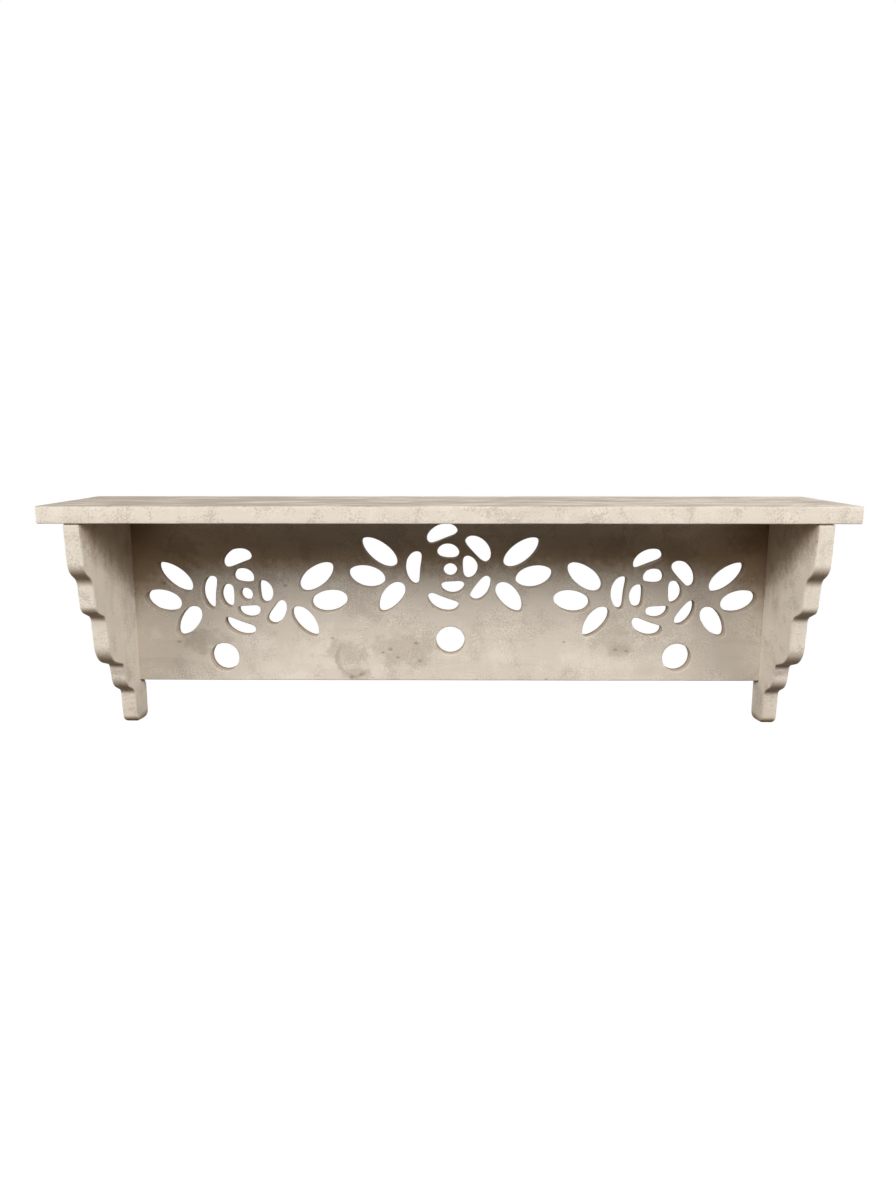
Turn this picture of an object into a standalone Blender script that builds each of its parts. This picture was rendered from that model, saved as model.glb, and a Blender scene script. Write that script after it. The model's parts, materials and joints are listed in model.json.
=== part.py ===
"""Painted wooden wall shelf: a plain board on two scalloped brackets, with a pierced panel at the back.

Metres, +X to the right, -Y to the front, +Z up. The wall is the plane Y = 0. The origin lies on the panel's
back face, on the wood between the middle rosette and the round hole below it.
"""

from collections import namedtuple
from math import asin, cos, degrees, pi, radians, sin

import bmesh
import bpy

# Boards
SHELF_LENGTH = 0.610
SHELF_DEPTH = 0.116
SHELF_THICKNESS = 0.013
PANEL_HEIGHT = 0.148
PANEL_THICKNESS = 0.013
BRACKET_THICKNESS = 0.013
END_OVERHANG = 0.019  # shelf end past a bracket's outer face
FRONT_OVERHANG = 0.002  # shelf front past the brackets
FOOT_DROP = 0.035  # feet below the panel's bottom edge
FOOT_DEPTH = 0.028  # a foot, from the wall to its front
EDGE_EASE = 0.0012  # rounding of the boards' edges
FIT = 0.0003  # gap between pieces that touch
ORIGIN_DROP = 0.105  # origin below the shelf's top

# Brackets: each lobe drops almost straight, rounds under in a nose and runs into the next through a cove
LOBE_LEAN = 0.0015  # how far a lobe's front leans in on its way down
FOOT_FRONT_RADIUS = 0.005
FOOT_BACK_RADIUS = 0.006
LEFT_SHOULDER_RADIUS = 0.009  # corner of the foot under the panel, worn round on the left
RIGHT_SHOULDER_RADIUS = 0.002

# Stencil cut through the panel
ROSETTE_PITCH = 0.178
MIDDLE_ROSETTE_DROP = 0.0494  # rosette centre below the panel's top edge
SIDE_ROSETTE_DROP = 0.071
EYE_DIAMETER = 0.0117
HOLE_DIAMETER = 0.0254
HOLE_PITCH = 0.199
MIDDLE_HOLE_RISE = 0.0359  # hole centre above the panel's bottom edge
SIDE_HOLE_RISE = 0.0208
STENCIL_OFFSET = 0.0014  # stencil's middle, right of the panel's
STENCIL_MARGIN = 0.005  # least wood left round the stencil

# Dowels between the shelf and the boards under it
DOWEL_DIAMETER = 0.006
DOWEL_IN_BOARD = 0.016
DOWEL_COVER = 0.005  # wood left between a dowel and the shelf's top
DOWEL_CHAMFER = 0.0008
FRONT_DOWEL_SETBACK = 0.024  # behind the bracket's front
REAR_DOWEL_ADVANCE = 0.022  # in front of the panel

# Screws from behind through the panel's ends into the brackets
SCREW_DIAMETER = 0.004
SCREW_HEAD_DIAMETER = 0.008
SCREW_LENGTH = 0.032
UPPER_SCREW_DROP = 0.030  # below the panel's top edge
LOWER_SCREW_RISE = 0.026  # above the panel's bottom edge

# Keyhole hangers let into the panel's back
HANGER_LENGTH = 0.036
HANGER_WIDTH = 0.014
HANGER_THICKNESS = 0.0016
HANGER_INSET = 0.011  # centre line from the bracket's inner face
HANGER_DROP = 0.024  # centre below the panel's top edge
KEYHOLE_ENTRY_DIAMETER = 0.0085
KEYHOLE_SLOT_WIDTH = 0.0042
KEYHOLE_TRAVEL = 0.009  # entry centre to the end of the slot
POCKET_DEPTH = 0.007  # room for a wall screw's head, from the panel's back
POCKET_CLEARANCE = 0.0005
HANGER_SCREW_DIAMETER = 0.0024
HANGER_SCREW_HEAD_DIAMETER = 0.0052
HANGER_SCREW_LENGTH = 0.009
HANGER_SCREW_INSET = 0.0048  # from the hanger's end

# Fineness of the round stretches
BOARD_EASE_STEPS = 2
ARC_STEPS = 6
CUT_STEPS = 9
ROUND_STEPS = 24
PIN_STEPS = 16
CUTTER_REACH = 0.01  # how far a cutter runs past the face that it opens
SHARP_EDGE = 35  # degrees, past which an edge is eased and shaded sharp
SEAM_MERGE = 1e-7  # closes the seam of a turned solid

# front is a share of the run from the foot's front to the bracket's front, nose_at a share of its height,
# and underside is how steeply the nose turns under, in degrees
Lobe = namedtuple("Lobe", "front nose_at nose_radius underside cove_radius")
LOBES = (
    Lobe(front=1.0, nose_at=0.158, nose_radius=0.014, underside=58, cove_radius=0.010),
    Lobe(front=0.81, nose_at=0.352, nose_radius=0.009, underside=66, cove_radius=0.007),
    Lobe(front=0.58, nose_at=0.546, nose_radius=0.021, underside=70, cove_radius=0.006),
    Lobe(front=0.23, nose_at=0.735, nose_radius=0.015, underside=62, cove_radius=0.007),
)

# A cut is a rounded oval, placed by its middle from the rosette's eye. It runs from its near end to its far
# end along heading, in degrees. An end is round at 0.5 and pointed at 1, and bow bends the cut off the eye.
Cut = namedtuple("Cut", "x z heading length width near far bow")
LEAVES = {
    "upper_leaf": Cut(0.0615, 0.0155, 38, 0.0371, 0.0177, 0.50, 0.67, 0),
    "middle_leaf": Cut(0.0725, -0.0055, 12, 0.0324, 0.0197, 0.60, 0.64, 0.0003),
    "lower_leaf": Cut(0.0515, -0.0245, -52, 0.0325, 0.0170, 0.53, 0.80, 0.0002),
}
PETALS = {
    "left_petal": Cut(-0.0290, 0.0015, 266, 0.0288, 0.0140, 0.45, 0.62, 0.0032),
    "top_petal": Cut(-0.0070, 0.0300, 202, 0.0275, 0.0145, 0.52, 0.57, 0.0026),
    "upper_right_petal": Cut(0.0235, 0.0175, -48, 0.0280, 0.0152, 0.55, 0.67, 0.0023),
    "lower_right_petal": Cut(0.0260, -0.0155, 56, 0.0244, 0.0131, 0.42, 0.66, 0.0014),
    "bottom_petal": Cut(-0.0060, -0.0270, -21, 0.0276, 0.0132, 0.53, 0.45, 0.0026),
    "left_seed": Cut(-0.0147, -0.0012, 270, 0.0204, 0.0129, 0.48, 0.58, 0.0016),
    "top_seed": Cut(-0.0019, 0.0149, 175, 0.0187, 0.0135, 0.55, 0.56, 0.0013),
    "right_seed": Cut(0.0150, 0.0023, -85, 0.0201, 0.0135, 0.60, 0.53, 0.0021),
    "bottom_seed": Cut(0.0020, -0.0132, 3, 0.0198, 0.0118, 0.54, 0.48, 0.0021),
}
LEFT_ROSETTE_LEAVES_OUT = "upper_right_petal"
MIDDLE_ROSETTE_LEAVES_OUT = "left_seed"
RIGHT_ROSETTE_LEAVES_OUT = "eye"

# Levels and faces that the pieces share
SHELF_TOP = ORIGIN_DROP
SHELF_UNDERSIDE = SHELF_TOP - SHELF_THICKNESS
BOARD_TOP = SHELF_UNDERSIDE - FIT
PANEL_BOTTOM = BOARD_TOP - PANEL_HEIGHT
BRACKET_HEIGHT = PANEL_HEIGHT + FOOT_DROP
BRACKET_REACH = SHELF_DEPTH - FRONT_OVERHANG
BRACKET_OUTER = SHELF_LENGTH / 2 - END_OVERHANG
BRACKET_INNER = BRACKET_OUTER - BRACKET_THICKNESS
BRACKET_MIDDLE = BRACKET_OUTER - BRACKET_THICKNESS / 2
NOTCH_DEPTH = PANEL_THICKNESS + FIT
SIDES = {"left": -1, "right": 1}
BRACKET_SCREW = (SCREW_DIAMETER, SCREW_HEAD_DIAMETER, SCREW_LENGTH)
HANGER_SCREW = (HANGER_SCREW_DIAMETER, HANGER_SCREW_HEAD_DIAMETER, HANGER_SCREW_LENGTH)
FACING_WALL = (-90, 0, 0)  # turns a piece's top to the wall
REACHING_FORWARD = (0, 0, -90)  # turns a side outline's reach to the front


def painted(name, red, green, blue, roughness, metallic=0.0):
    """A Principled material whose colour is given in sRGB, 0 to 255."""
    material = bpy.data.materials.new(name)
    material.use_nodes = True
    shader = material.node_tree.nodes["Principled BSDF"]
    linear = [((c / 255 + 0.055) / 1.055) ** 2.4 for c in (red, green, blue)]
    shader.inputs["Base Color"].default_value = (*linear, 1)
    shader.inputs["Roughness"].default_value = roughness
    shader.inputs["Metallic"].default_value = metallic
    return material


def arc(centre, radius, first, last, steps):
    """Points round a centre, from one angle to another in degrees."""
    turns = [radians(first + (last - first) * i / steps) for i in range(steps + 1)]
    return [(centre[0] + radius * cos(turn), centre[1] + radius * sin(turn)) for turn in turns]


def circle(centre, diameter, steps):
    return arc(centre, diameter / 2, 0, 360, steps)[:-1]


def oblong(length, width):
    """An upright bar with half-round ends, about the origin."""
    rise = (length - width) / 2
    steps = ROUND_STEPS // 2
    return arc((0, rise), width / 2, 0, 180, steps) + arc((0, -rise), width / 2, 180, 360, steps)


def extruded(name, outlines, thickness):
    """Closed outlines in X and Z, each given its thickness evenly about Y = 0."""
    shape = bmesh.new()
    for outline in outlines:
        corners = [shape.verts.new((x, -thickness / 2, z)) for x, z in outline]
        face = shape.faces.new(corners)
        grown = bmesh.ops.extrude_face_region(shape, geom=[face])["geom"]
        moved = [part for part in grown if isinstance(part, bmesh.types.BMVert)]
        bmesh.ops.translate(shape, verts=moved, vec=(0, thickness, 0))
    bmesh.ops.recalc_face_normals(shape, faces=shape.faces)
    return finished(name, shape)


def turned(name, profile, steps):
    """A solid turned about Z from radius and height pairs that start and end on the axis."""
    shape = bmesh.new()
    points = [shape.verts.new((radius, 0, height)) for radius, height in profile]
    edges = [shape.edges.new(pair) for pair in zip(points, points[1:])]
    about_z = {"axis": (0, 0, 1), "cent": (0, 0, 0), "angle": 2 * pi}
    bmesh.ops.spin(shape, geom=points + edges, steps=steps, use_merge=True, **about_z)
    bmesh.ops.remove_doubles(shape, verts=shape.verts, dist=SEAM_MERGE)
    bmesh.ops.recalc_face_normals(shape, faces=shape.faces)
    return finished(name, shape)


def finished(name, shape):
    mesh = bpy.data.meshes.new(name)
    shape.to_mesh(mesh)
    shape.free()
    mesh.shade_smooth()
    mesh.set_sharp_from_angle(angle=radians(SHARP_EDGE))
    return mesh


def placed(name, mesh, location, rotation=(0, 0, 0), material=None):
    piece = bpy.data.objects.new(name, mesh)
    piece.location = location
    piece.rotation_euler = [radians(turn) for turn in rotation]
    bpy.context.scene.collection.objects.link(piece)
    if material:
        piece.parent = bpy.data.objects["wall_shelf"]
        if not mesh.materials:
            mesh.materials.append(material)
    return piece


def eased(board):
    """Rounds a board's edges."""
    ease = board.modifiers.new("eased edges", "BEVEL")
    ease.width = EDGE_EASE
    ease.segments = BOARD_EASE_STEPS
    ease.limit_method = "ANGLE"
    ease.angle_limit = radians(SHARP_EDGE)
    ease.use_clamp_overlap = False
    return board


def cut_out(board, cutters):
    """Takes the cutters out of a board and keeps them as hidden guides."""
    guides = bpy.data.collections.new(board.name + "_cutters")
    bpy.context.scene.collection.children.link(guides)
    for cutter in cutters:
        bpy.context.scene.collection.objects.unlink(cutter)
        guides.objects.link(cutter)
        cutter.hide_render = True
        cutter.display_type = "WIRE"
    cuts = board.modifiers.new("cuts", "BOOLEAN")
    cuts.operation = "DIFFERENCE"
    cuts.operand_type = "COLLECTION"
    cuts.collection = guides
    cuts.solver = "EXACT"


def box(length, height):
    right, top = length / 2, height / 2
    return [(-right, -top), (right, -top), (right, top), (-right, top)]


def scallop(lobe, next_front):
    """The front of one lobe from its nose down to the start of the next front, as reach and drop pairs."""
    front = lobe_front(lobe.front) - LOBE_LEAN
    nose_level = -lobe.nose_at * BRACKET_HEIGHT
    turn = radians(lobe.underside)
    radii = lobe.nose_radius + lobe.cove_radius
    underside = (front - next_front - radii * (1 - cos(turn))) / sin(turn)
    cove_level = nose_level - radii * sin(turn) - underside * cos(turn)
    nose = arc((front - lobe.nose_radius, nose_level), lobe.nose_radius, 0, -lobe.underside, ARC_STEPS)
    cove_centre = (next_front + lobe.cove_radius, cove_level)
    return nose + arc(cove_centre, lobe.cove_radius, 180 - lobe.underside, 180, ARC_STEPS)


def lobe_front(share):
    return FOOT_DEPTH + share * (BRACKET_REACH - FOOT_DEPTH)


def bracket_outline(shoulder_radius):
    """A bracket's side, round from the panel's notch: reach from the wall and height over its top."""
    bottom = -BRACKET_HEIGHT
    shoulder = -PANEL_HEIGHT - FIT
    toe_front = FOOT_DEPTH - LOBE_LEAN
    outline = [(NOTCH_DEPTH, 0), (BRACKET_REACH, 0)]
    fronts = [lobe_front(lobe.front) for lobe in LOBES[1:]] + [FOOT_DEPTH]
    for lobe, next_front in zip(LOBES, fronts):
        outline += scallop(lobe, next_front)
    toe = (toe_front - FOOT_FRONT_RADIUS, bottom + FOOT_FRONT_RADIUS)
    outline += arc(toe, FOOT_FRONT_RADIUS, 0, -90, ARC_STEPS)
    heel = (FOOT_BACK_RADIUS, bottom + FOOT_BACK_RADIUS)
    outline += arc(heel, FOOT_BACK_RADIUS, -90, -180, ARC_STEPS)
    outline += arc((shoulder_radius, shoulder - shoulder_radius), shoulder_radius, 180, 90, ARC_STEPS)
    return outline + [(NOTCH_DEPTH, shoulder)]


def cut_outline(cut):
    """A cut's outline about the rosette's eye. Its width follows a power of the distance to each end."""
    turn = radians(cut.heading)
    along = (cos(turn), sin(turn))
    away = 1 if -along[1] * cut.x + along[0] * cut.z > 0 else -1
    widest = (cut.near - cut.far) / (cut.near + cut.far)
    full = (1 - widest) ** cut.far * (1 + widest) ** cut.near

    def point(step, side):
        share = -cos(pi * step / CUT_STEPS)
        half_width = cut.width / 2 * max(1 - share, 0) ** cut.far * max(1 + share, 0) ** cut.near / full
        run = share * cut.length / 2
        rise = away * (cut.bow * (1 - share**2) + side * half_width)
        return (cut.x + run * along[0] - rise * along[1], cut.z + run * along[1] + rise * along[0])

    outer = [point(step, 1) for step in range(CUT_STEPS + 1)]
    inner = [point(step, -1) for step in range(CUT_STEPS - 1, 0, -1)]
    return outer + inner


def rosette(left_out):
    """The outlines of one rosette about its eye: leaves on both sides, two rings of petals and the eye."""
    cuts = {"eye": circle((0, 0), EYE_DIAMETER, PIN_STEPS)}
    for name, leaf in LEAVES.items():
        cuts["right_" + name] = cut_outline(leaf)
        cuts["left_" + name] = [(-x, z) for x, z in cut_outline(leaf)]
    cuts.update({name: cut_outline(petal) for name, petal in PETALS.items()})
    cuts.pop(left_out, None)
    return list(cuts.values())


def stencil():
    """Every outline cut through the panel, in X and Z, made smaller where the panel is too small for it."""
    whole = [point for outline in rosette(None) for point in outline]
    widest = max(x for x, _ in whole)
    lowest = min(z for _, z in whole)
    half_length = ROSETTE_PITCH + widest + abs(STENCIL_OFFSET) + STENCIL_MARGIN
    height = SIDE_ROSETTE_DROP - lowest + STENCIL_MARGIN + SIDE_HOLE_RISE + HOLE_DIAMETER / 2
    scale = min(1, BRACKET_INNER / half_length, PANEL_HEIGHT / height)
    places = (
        (-ROSETTE_PITCH, SIDE_ROSETTE_DROP, LEFT_ROSETTE_LEAVES_OUT),
        (0, MIDDLE_ROSETTE_DROP, MIDDLE_ROSETTE_LEAVES_OUT),
        (ROSETTE_PITCH, SIDE_ROSETTE_DROP, RIGHT_ROSETTE_LEAVES_OUT),
    )
    outlines = []
    for across, drop, left_out in places:
        middle = STENCIL_OFFSET + across
        for outline in rosette(left_out):
            outlines.append([(scale * (middle + x), BOARD_TOP - scale * (drop - z)) for x, z in outline])
    holes = ((-HOLE_PITCH, SIDE_HOLE_RISE), (0, MIDDLE_HOLE_RISE), (HOLE_PITCH, SIDE_HOLE_RISE))
    for across, rise in holes:
        centre = (scale * (STENCIL_OFFSET + across), PANEL_BOTTOM + scale * rise)
        outlines.append(circle(centre, scale * HOLE_DIAMETER, ROUND_STEPS))
    return outlines


def screw_profile(diameter, head_diameter, length, gap=0.0):
    """A countersunk screw, or with a gap the hole that it sits in, which runs on above the head."""
    radius = diameter / 2 + gap
    head_radius = head_diameter / 2 + gap
    neck = -(head_diameter - diameter) / 2
    top = CUTTER_REACH if gap else 0
    head = [(0, top), (head_radius, top)] + ([(head_radius, 0)] if gap else [])
    return head + [(radius, neck), (radius, diameter / 2 - length), (0, -length - gap)]


def dowel_profile(gap=0.0):
    """A chamfered dowel about the joint's level, or with a gap the hole that it sits in."""
    radius = DOWEL_DIAMETER / 2 + gap
    top = SHELF_THICKNESS - DOWEL_COVER + gap
    bottom = -DOWEL_IN_BOARD - gap
    return [
        (0, top),
        (radius - DOWEL_CHAMFER, top),
        (radius, top - DOWEL_CHAMFER),
        (radius, bottom + DOWEL_CHAMFER),
        (radius - DOWEL_CHAMFER, bottom),
        (0, bottom),
    ]


def dowel_places():
    """Each dowel's name and its place in X and Y."""
    front = -(BRACKET_REACH - FRONT_DOWEL_SETBACK)
    rear = -(NOTCH_DEPTH + REAR_DOWEL_ADVANCE)
    places = {}
    for side, sign in SIDES.items():
        places[f"{side}_front_dowel"] = (sign * BRACKET_MIDDLE, front)
        places[f"{side}_rear_dowel"] = (sign * BRACKET_MIDDLE, rear)
        places[f"{side}_panel_dowel"] = (sign * ROSETTE_PITCH / 2, -PANEL_THICKNESS / 2)
    return places


def bracket_screw_places():
    levels = {"upper": BOARD_TOP - UPPER_SCREW_DROP, "lower": PANEL_BOTTOM + LOWER_SCREW_RISE}
    return {
        f"{side}_{which}_screw": (sign * BRACKET_MIDDLE, -FIT, level)
        for side, sign in SIDES.items()
        for which, level in levels.items()
    }


def hanger_places():
    level = BOARD_TOP - HANGER_DROP
    return {side: (sign * (BRACKET_INNER - HANGER_INSET), level) for side, sign in SIDES.items()}


def hanger_screw_places():
    offset = HANGER_LENGTH / 2 - HANGER_SCREW_INSET
    return {
        f"{side}_hanger_{which}_screw": (x, -FIT, z + rise)
        for side, (x, z) in hanger_places().items()
        for which, rise in (("upper", offset), ("lower", -offset))
    }


def keyhole():
    """A round entry with a slot that runs up from it, about the hanger's middle."""
    mouth = degrees(asin(KEYHOLE_SLOT_WIDTH / KEYHOLE_ENTRY_DIAMETER))
    entry_centre = (0, -KEYHOLE_TRAVEL / 2)
    entry = arc(entry_centre, KEYHOLE_ENTRY_DIAMETER / 2, 90 + mouth, 450 - mouth, ROUND_STEPS)
    return entry + arc((0, KEYHOLE_TRAVEL / 2), KEYHOLE_SLOT_WIDTH / 2, 0, 180, ARC_STEPS)


def dowel_holes(board, names):
    mesh = turned(f"{board}_dowel_hole", dowel_profile(FIT), PIN_STEPS)
    places = dowel_places()
    return [placed(f"{board}_{name}_hole", mesh, (*places[name], SHELF_UNDERSIDE)) for name in names]


def screw_holes(board, places, size):
    mesh = turned(f"{board}_screw_hole", screw_profile(*size, gap=FIT), PIN_STEPS)
    return [placed(f"{board}_{name}_hole", mesh, place, FACING_WALL) for name, place in places.items()]


def recess(name, outline, depth, x, z):
    """A cutter of this depth from the wall side, at a place on the panel's back."""
    mesh = extruded(name, [outline], depth + CUTTER_REACH)
    return placed(name, mesh, (x, (CUTTER_REACH - depth) / 2, z))


def of_side(side, places):
    return {name: place for name, place in places.items() if name.startswith(side)}


def make_shelf_board(paint):
    mesh = extruded("shelf_board", [box(SHELF_LENGTH, SHELF_THICKNESS)], SHELF_DEPTH)
    middle = SHELF_UNDERSIDE + SHELF_THICKNESS / 2
    board = eased(placed("shelf_board", mesh, (0, -SHELF_DEPTH / 2, middle), material=paint))
    cut_out(board, dowel_holes("shelf", dowel_places()))


def make_back_panel(paint):
    mesh = extruded("back_panel", [box(2 * BRACKET_OUTER, PANEL_HEIGHT)], PANEL_THICKNESS)
    middle = (0, -PANEL_THICKNESS / 2, BOARD_TOP - PANEL_HEIGHT / 2)
    board = eased(placed("back_panel", mesh, middle, material=paint))
    ornament = extruded("panel_stencil", stencil(), PANEL_THICKNESS + 2 * CUTTER_REACH)
    cutters = [placed("panel_stencil", ornament, (0, -PANEL_THICKNESS / 2, 0))]
    cutters += dowel_holes("panel", [f"{side}_panel_dowel" for side in SIDES])
    cutters += screw_holes("panel", bracket_screw_places(), BRACKET_SCREW)
    cutters += screw_holes("panel_hanger", hanger_screw_places(), HANGER_SCREW)
    seat = oblong(HANGER_LENGTH + 2 * FIT, HANGER_WIDTH + 2 * FIT)
    head_width = KEYHOLE_ENTRY_DIAMETER + 2 * POCKET_CLEARANCE
    head_room = oblong(KEYHOLE_TRAVEL + head_width, head_width)
    for side, (x, z) in hanger_places().items():
        cutters.append(recess(f"{side}_hanger_seat", seat, HANGER_THICKNESS + FIT, x, z))
        cutters.append(recess(f"{side}_hanger_pocket", head_room, POCKET_DEPTH, x, z))
    cut_out(board, cutters)


def make_bracket(side, shoulder_radius, paint):
    name = f"{side}_bracket"
    mesh = extruded(name, [bracket_outline(shoulder_radius)], BRACKET_THICKNESS)
    place = (SIDES[side] * BRACKET_MIDDLE, 0, BOARD_TOP)
    board = eased(placed(name, mesh, place, REACHING_FORWARD, paint))
    cutters = dowel_holes(name, [f"{side}_front_dowel", f"{side}_rear_dowel"])
    cutters += screw_holes(name, of_side(side, bracket_screw_places()), BRACKET_SCREW)
    cut_out(board, cutters)


def make_hanger(side, steel):
    name = f"{side}_keyhole_hanger"
    x, z = hanger_places()[side]
    mesh = extruded(name, [oblong(HANGER_LENGTH, HANGER_WIDTH)], HANGER_THICKNESS)
    hanger = placed(name, mesh, (x, -HANGER_THICKNESS / 2, z), material=steel)
    opening = recess(f"{side}_keyhole", keyhole(), HANGER_THICKNESS + CUTTER_REACH, x, z)
    cut_out(hanger, [opening] + screw_holes(name, of_side(side, hanger_screw_places()), HANGER_SCREW))


def make_dowels(wood):
    mesh = turned("dowel", dowel_profile(), PIN_STEPS)
    for name, place in dowel_places().items():
        placed(name, mesh, (*place, SHELF_UNDERSIDE), material=wood)


def make_screws(name, places, size, steel):
    mesh = turned(name, screw_profile(*size), PIN_STEPS)
    for piece, place in places.items():
        placed(piece, mesh, place, FACING_WALL, steel)


def make_wall_shelf():
    for leftover in list(bpy.data.objects):
        bpy.data.objects.remove(leftover)
    bpy.context.scene.collection.objects.link(bpy.data.objects.new("wall_shelf", None))
    bracket_paint = painted("bracket_paint", 208, 196, 181, 0.75)
    steel = painted("zinc_steel", 168, 166, 160, 0.38, 1.0)
    make_shelf_board(painted("shelf_paint", 214, 202, 187, 0.75))
    make_back_panel(painted("panel_paint", 202, 190, 175, 0.75))
    make_bracket("left", LEFT_SHOULDER_RADIUS, bracket_paint)
    make_bracket("right", RIGHT_SHOULDER_RADIUS, bracket_paint)
    make_dowels(painted("dowel_wood", 206, 172, 128, 0.65))
    make_screws("bracket_screw", bracket_screw_places(), BRACKET_SCREW, steel)
    for side in SIDES:
        make_hanger(side, steel)
    make_screws("hanger_screw", hanger_screw_places(), HANGER_SCREW, steel)


make_wall_shelf()
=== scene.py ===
"""Looks of a painted wall shelf: chalky cream boards, a pierced back panel, steel hangers and screws.

Metres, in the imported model's frame: +X to the right, -Y to the front, +Z up, the wall at Y = 0.
"""

import json
from collections import namedtuple
from math import asin, cos, degrees, pi, radians, sin

import bmesh
import bpy
from mathutils import Matrix, Vector
from mathutils.geometry import delaunay_2d_cdt
from mathutils.kdtree import KDTree

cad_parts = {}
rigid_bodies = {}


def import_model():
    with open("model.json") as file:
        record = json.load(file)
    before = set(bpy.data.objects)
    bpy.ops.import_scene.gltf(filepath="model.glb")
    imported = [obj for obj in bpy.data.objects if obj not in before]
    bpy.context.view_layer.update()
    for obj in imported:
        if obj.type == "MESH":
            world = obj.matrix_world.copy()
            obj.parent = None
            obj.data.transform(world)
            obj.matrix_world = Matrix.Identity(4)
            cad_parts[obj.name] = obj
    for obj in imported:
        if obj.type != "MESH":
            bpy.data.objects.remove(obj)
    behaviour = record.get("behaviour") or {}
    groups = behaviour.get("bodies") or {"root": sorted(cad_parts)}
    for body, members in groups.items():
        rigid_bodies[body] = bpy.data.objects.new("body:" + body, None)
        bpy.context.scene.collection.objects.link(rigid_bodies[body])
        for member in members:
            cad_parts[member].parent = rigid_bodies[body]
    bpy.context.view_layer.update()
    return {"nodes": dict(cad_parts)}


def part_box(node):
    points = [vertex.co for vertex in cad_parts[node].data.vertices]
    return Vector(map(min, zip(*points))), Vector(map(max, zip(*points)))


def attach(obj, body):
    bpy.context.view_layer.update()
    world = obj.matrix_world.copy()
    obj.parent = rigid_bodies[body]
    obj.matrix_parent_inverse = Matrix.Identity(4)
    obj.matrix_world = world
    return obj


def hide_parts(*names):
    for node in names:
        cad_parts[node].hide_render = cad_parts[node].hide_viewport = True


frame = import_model()

# Boards
SIDES = {"left": -1, "right": 1}  # which way each side lies along X
SHELF_LOW, SHELF_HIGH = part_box("shelf_board")
PANEL_LOW, PANEL_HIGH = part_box("back_panel")
CORNER_RADIUS = 0.002  # corners of the shelf and the panel, seen face on
FIT = 0.0003  # gap between pieces that touch

# How a piece's edges are worked: their rounding, their waves, the depth of their nicks, and a seed for these
Edges = namedtuple("Edges", "ease waviness nicks seed")
SHELF_EDGES = Edges(ease=0.0010, waviness=0.0005, nicks=0.0005, seed=1.0)
PANEL_EDGES = Edges(ease=0.0010, waviness=0.0004, nicks=0.0003, seed=4.0)
BRACKET_EDGES = {
    "left": Edges(ease=0.0013, waviness=0.0004, nicks=0.0004, seed=5.0),
    "right": Edges(ease=0.0013, waviness=0.0004, nicks=0.0004, seed=7.0),
}
PLATE_EDGES = Edges(ease=0.00025, waviness=0.0, nicks=0.0, seed=0.0)
WAVE_FINENESS = 26
NICK_FINENESS = 95
NICK_MASK = (0.60, 0.74)  # noise at which a nick starts and is full
NICK_REACH = 0.003  # how far from an edge a nick starts

# Brackets: each lobe drops almost straight, rounds under in a nose and runs into the next through a cove
FOOT_DEPTH = 0.028  # a foot, from the wall to its front
LOBE_LEAN = 0.0015  # how far a lobe's front leans in on its way down
FOOT_FRONT_RADIUS = 0.008
FOOT_BACK_RADIUS = 0.009
FOOT_SIDE_RADIUS = 0.0045
TOE_DROP = 0.0005  # a foot's toe and heel below its nominal bottom
HEEL_DROP = 0.003
SHOULDER_RADIUS = {"left": 0.009, "right": 0.002}  # corner of the foot under the panel
TOP_CORNER_RADIUS = 0.002

# front is a share of the run from the foot's front to the bracket's front, nose_at a share of its height,
# and underside is how steeply the nose turns under, in degrees
Lobe = namedtuple("Lobe", "front nose_at nose_radius underside cove_radius")
LOBES = (
    Lobe(front=1.0, nose_at=0.158, nose_radius=0.014, underside=58, cove_radius=0.010),
    Lobe(front=0.81, nose_at=0.352, nose_radius=0.009, underside=66, cove_radius=0.007),
    Lobe(front=0.58, nose_at=0.546, nose_radius=0.021, underside=70, cove_radius=0.006),
    Lobe(front=0.23, nose_at=0.735, nose_radius=0.015, underside=62, cove_radius=0.007),
)

# Stencil cut through the panel
ROSETTE_PITCH = 0.178
MIDDLE_ROSETTE_DROP = 0.0494  # rosette centre below the panel's top edge
SIDE_ROSETTE_DROP = 0.071
EYE_DIAMETER = 0.0117
HOLE_DIAMETER = 0.0254
HOLE_PITCH = 0.199
MIDDLE_HOLE_RISE = 0.0359  # hole centre above the panel's bottom edge
SIDE_HOLE_RISE = 0.0208
STENCIL_OFFSET = 0.0014  # stencil's middle, right of the panel's
INNER_BOW = 1.4  # bow of a cut's side towards the eye, as a share of its bow

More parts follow.
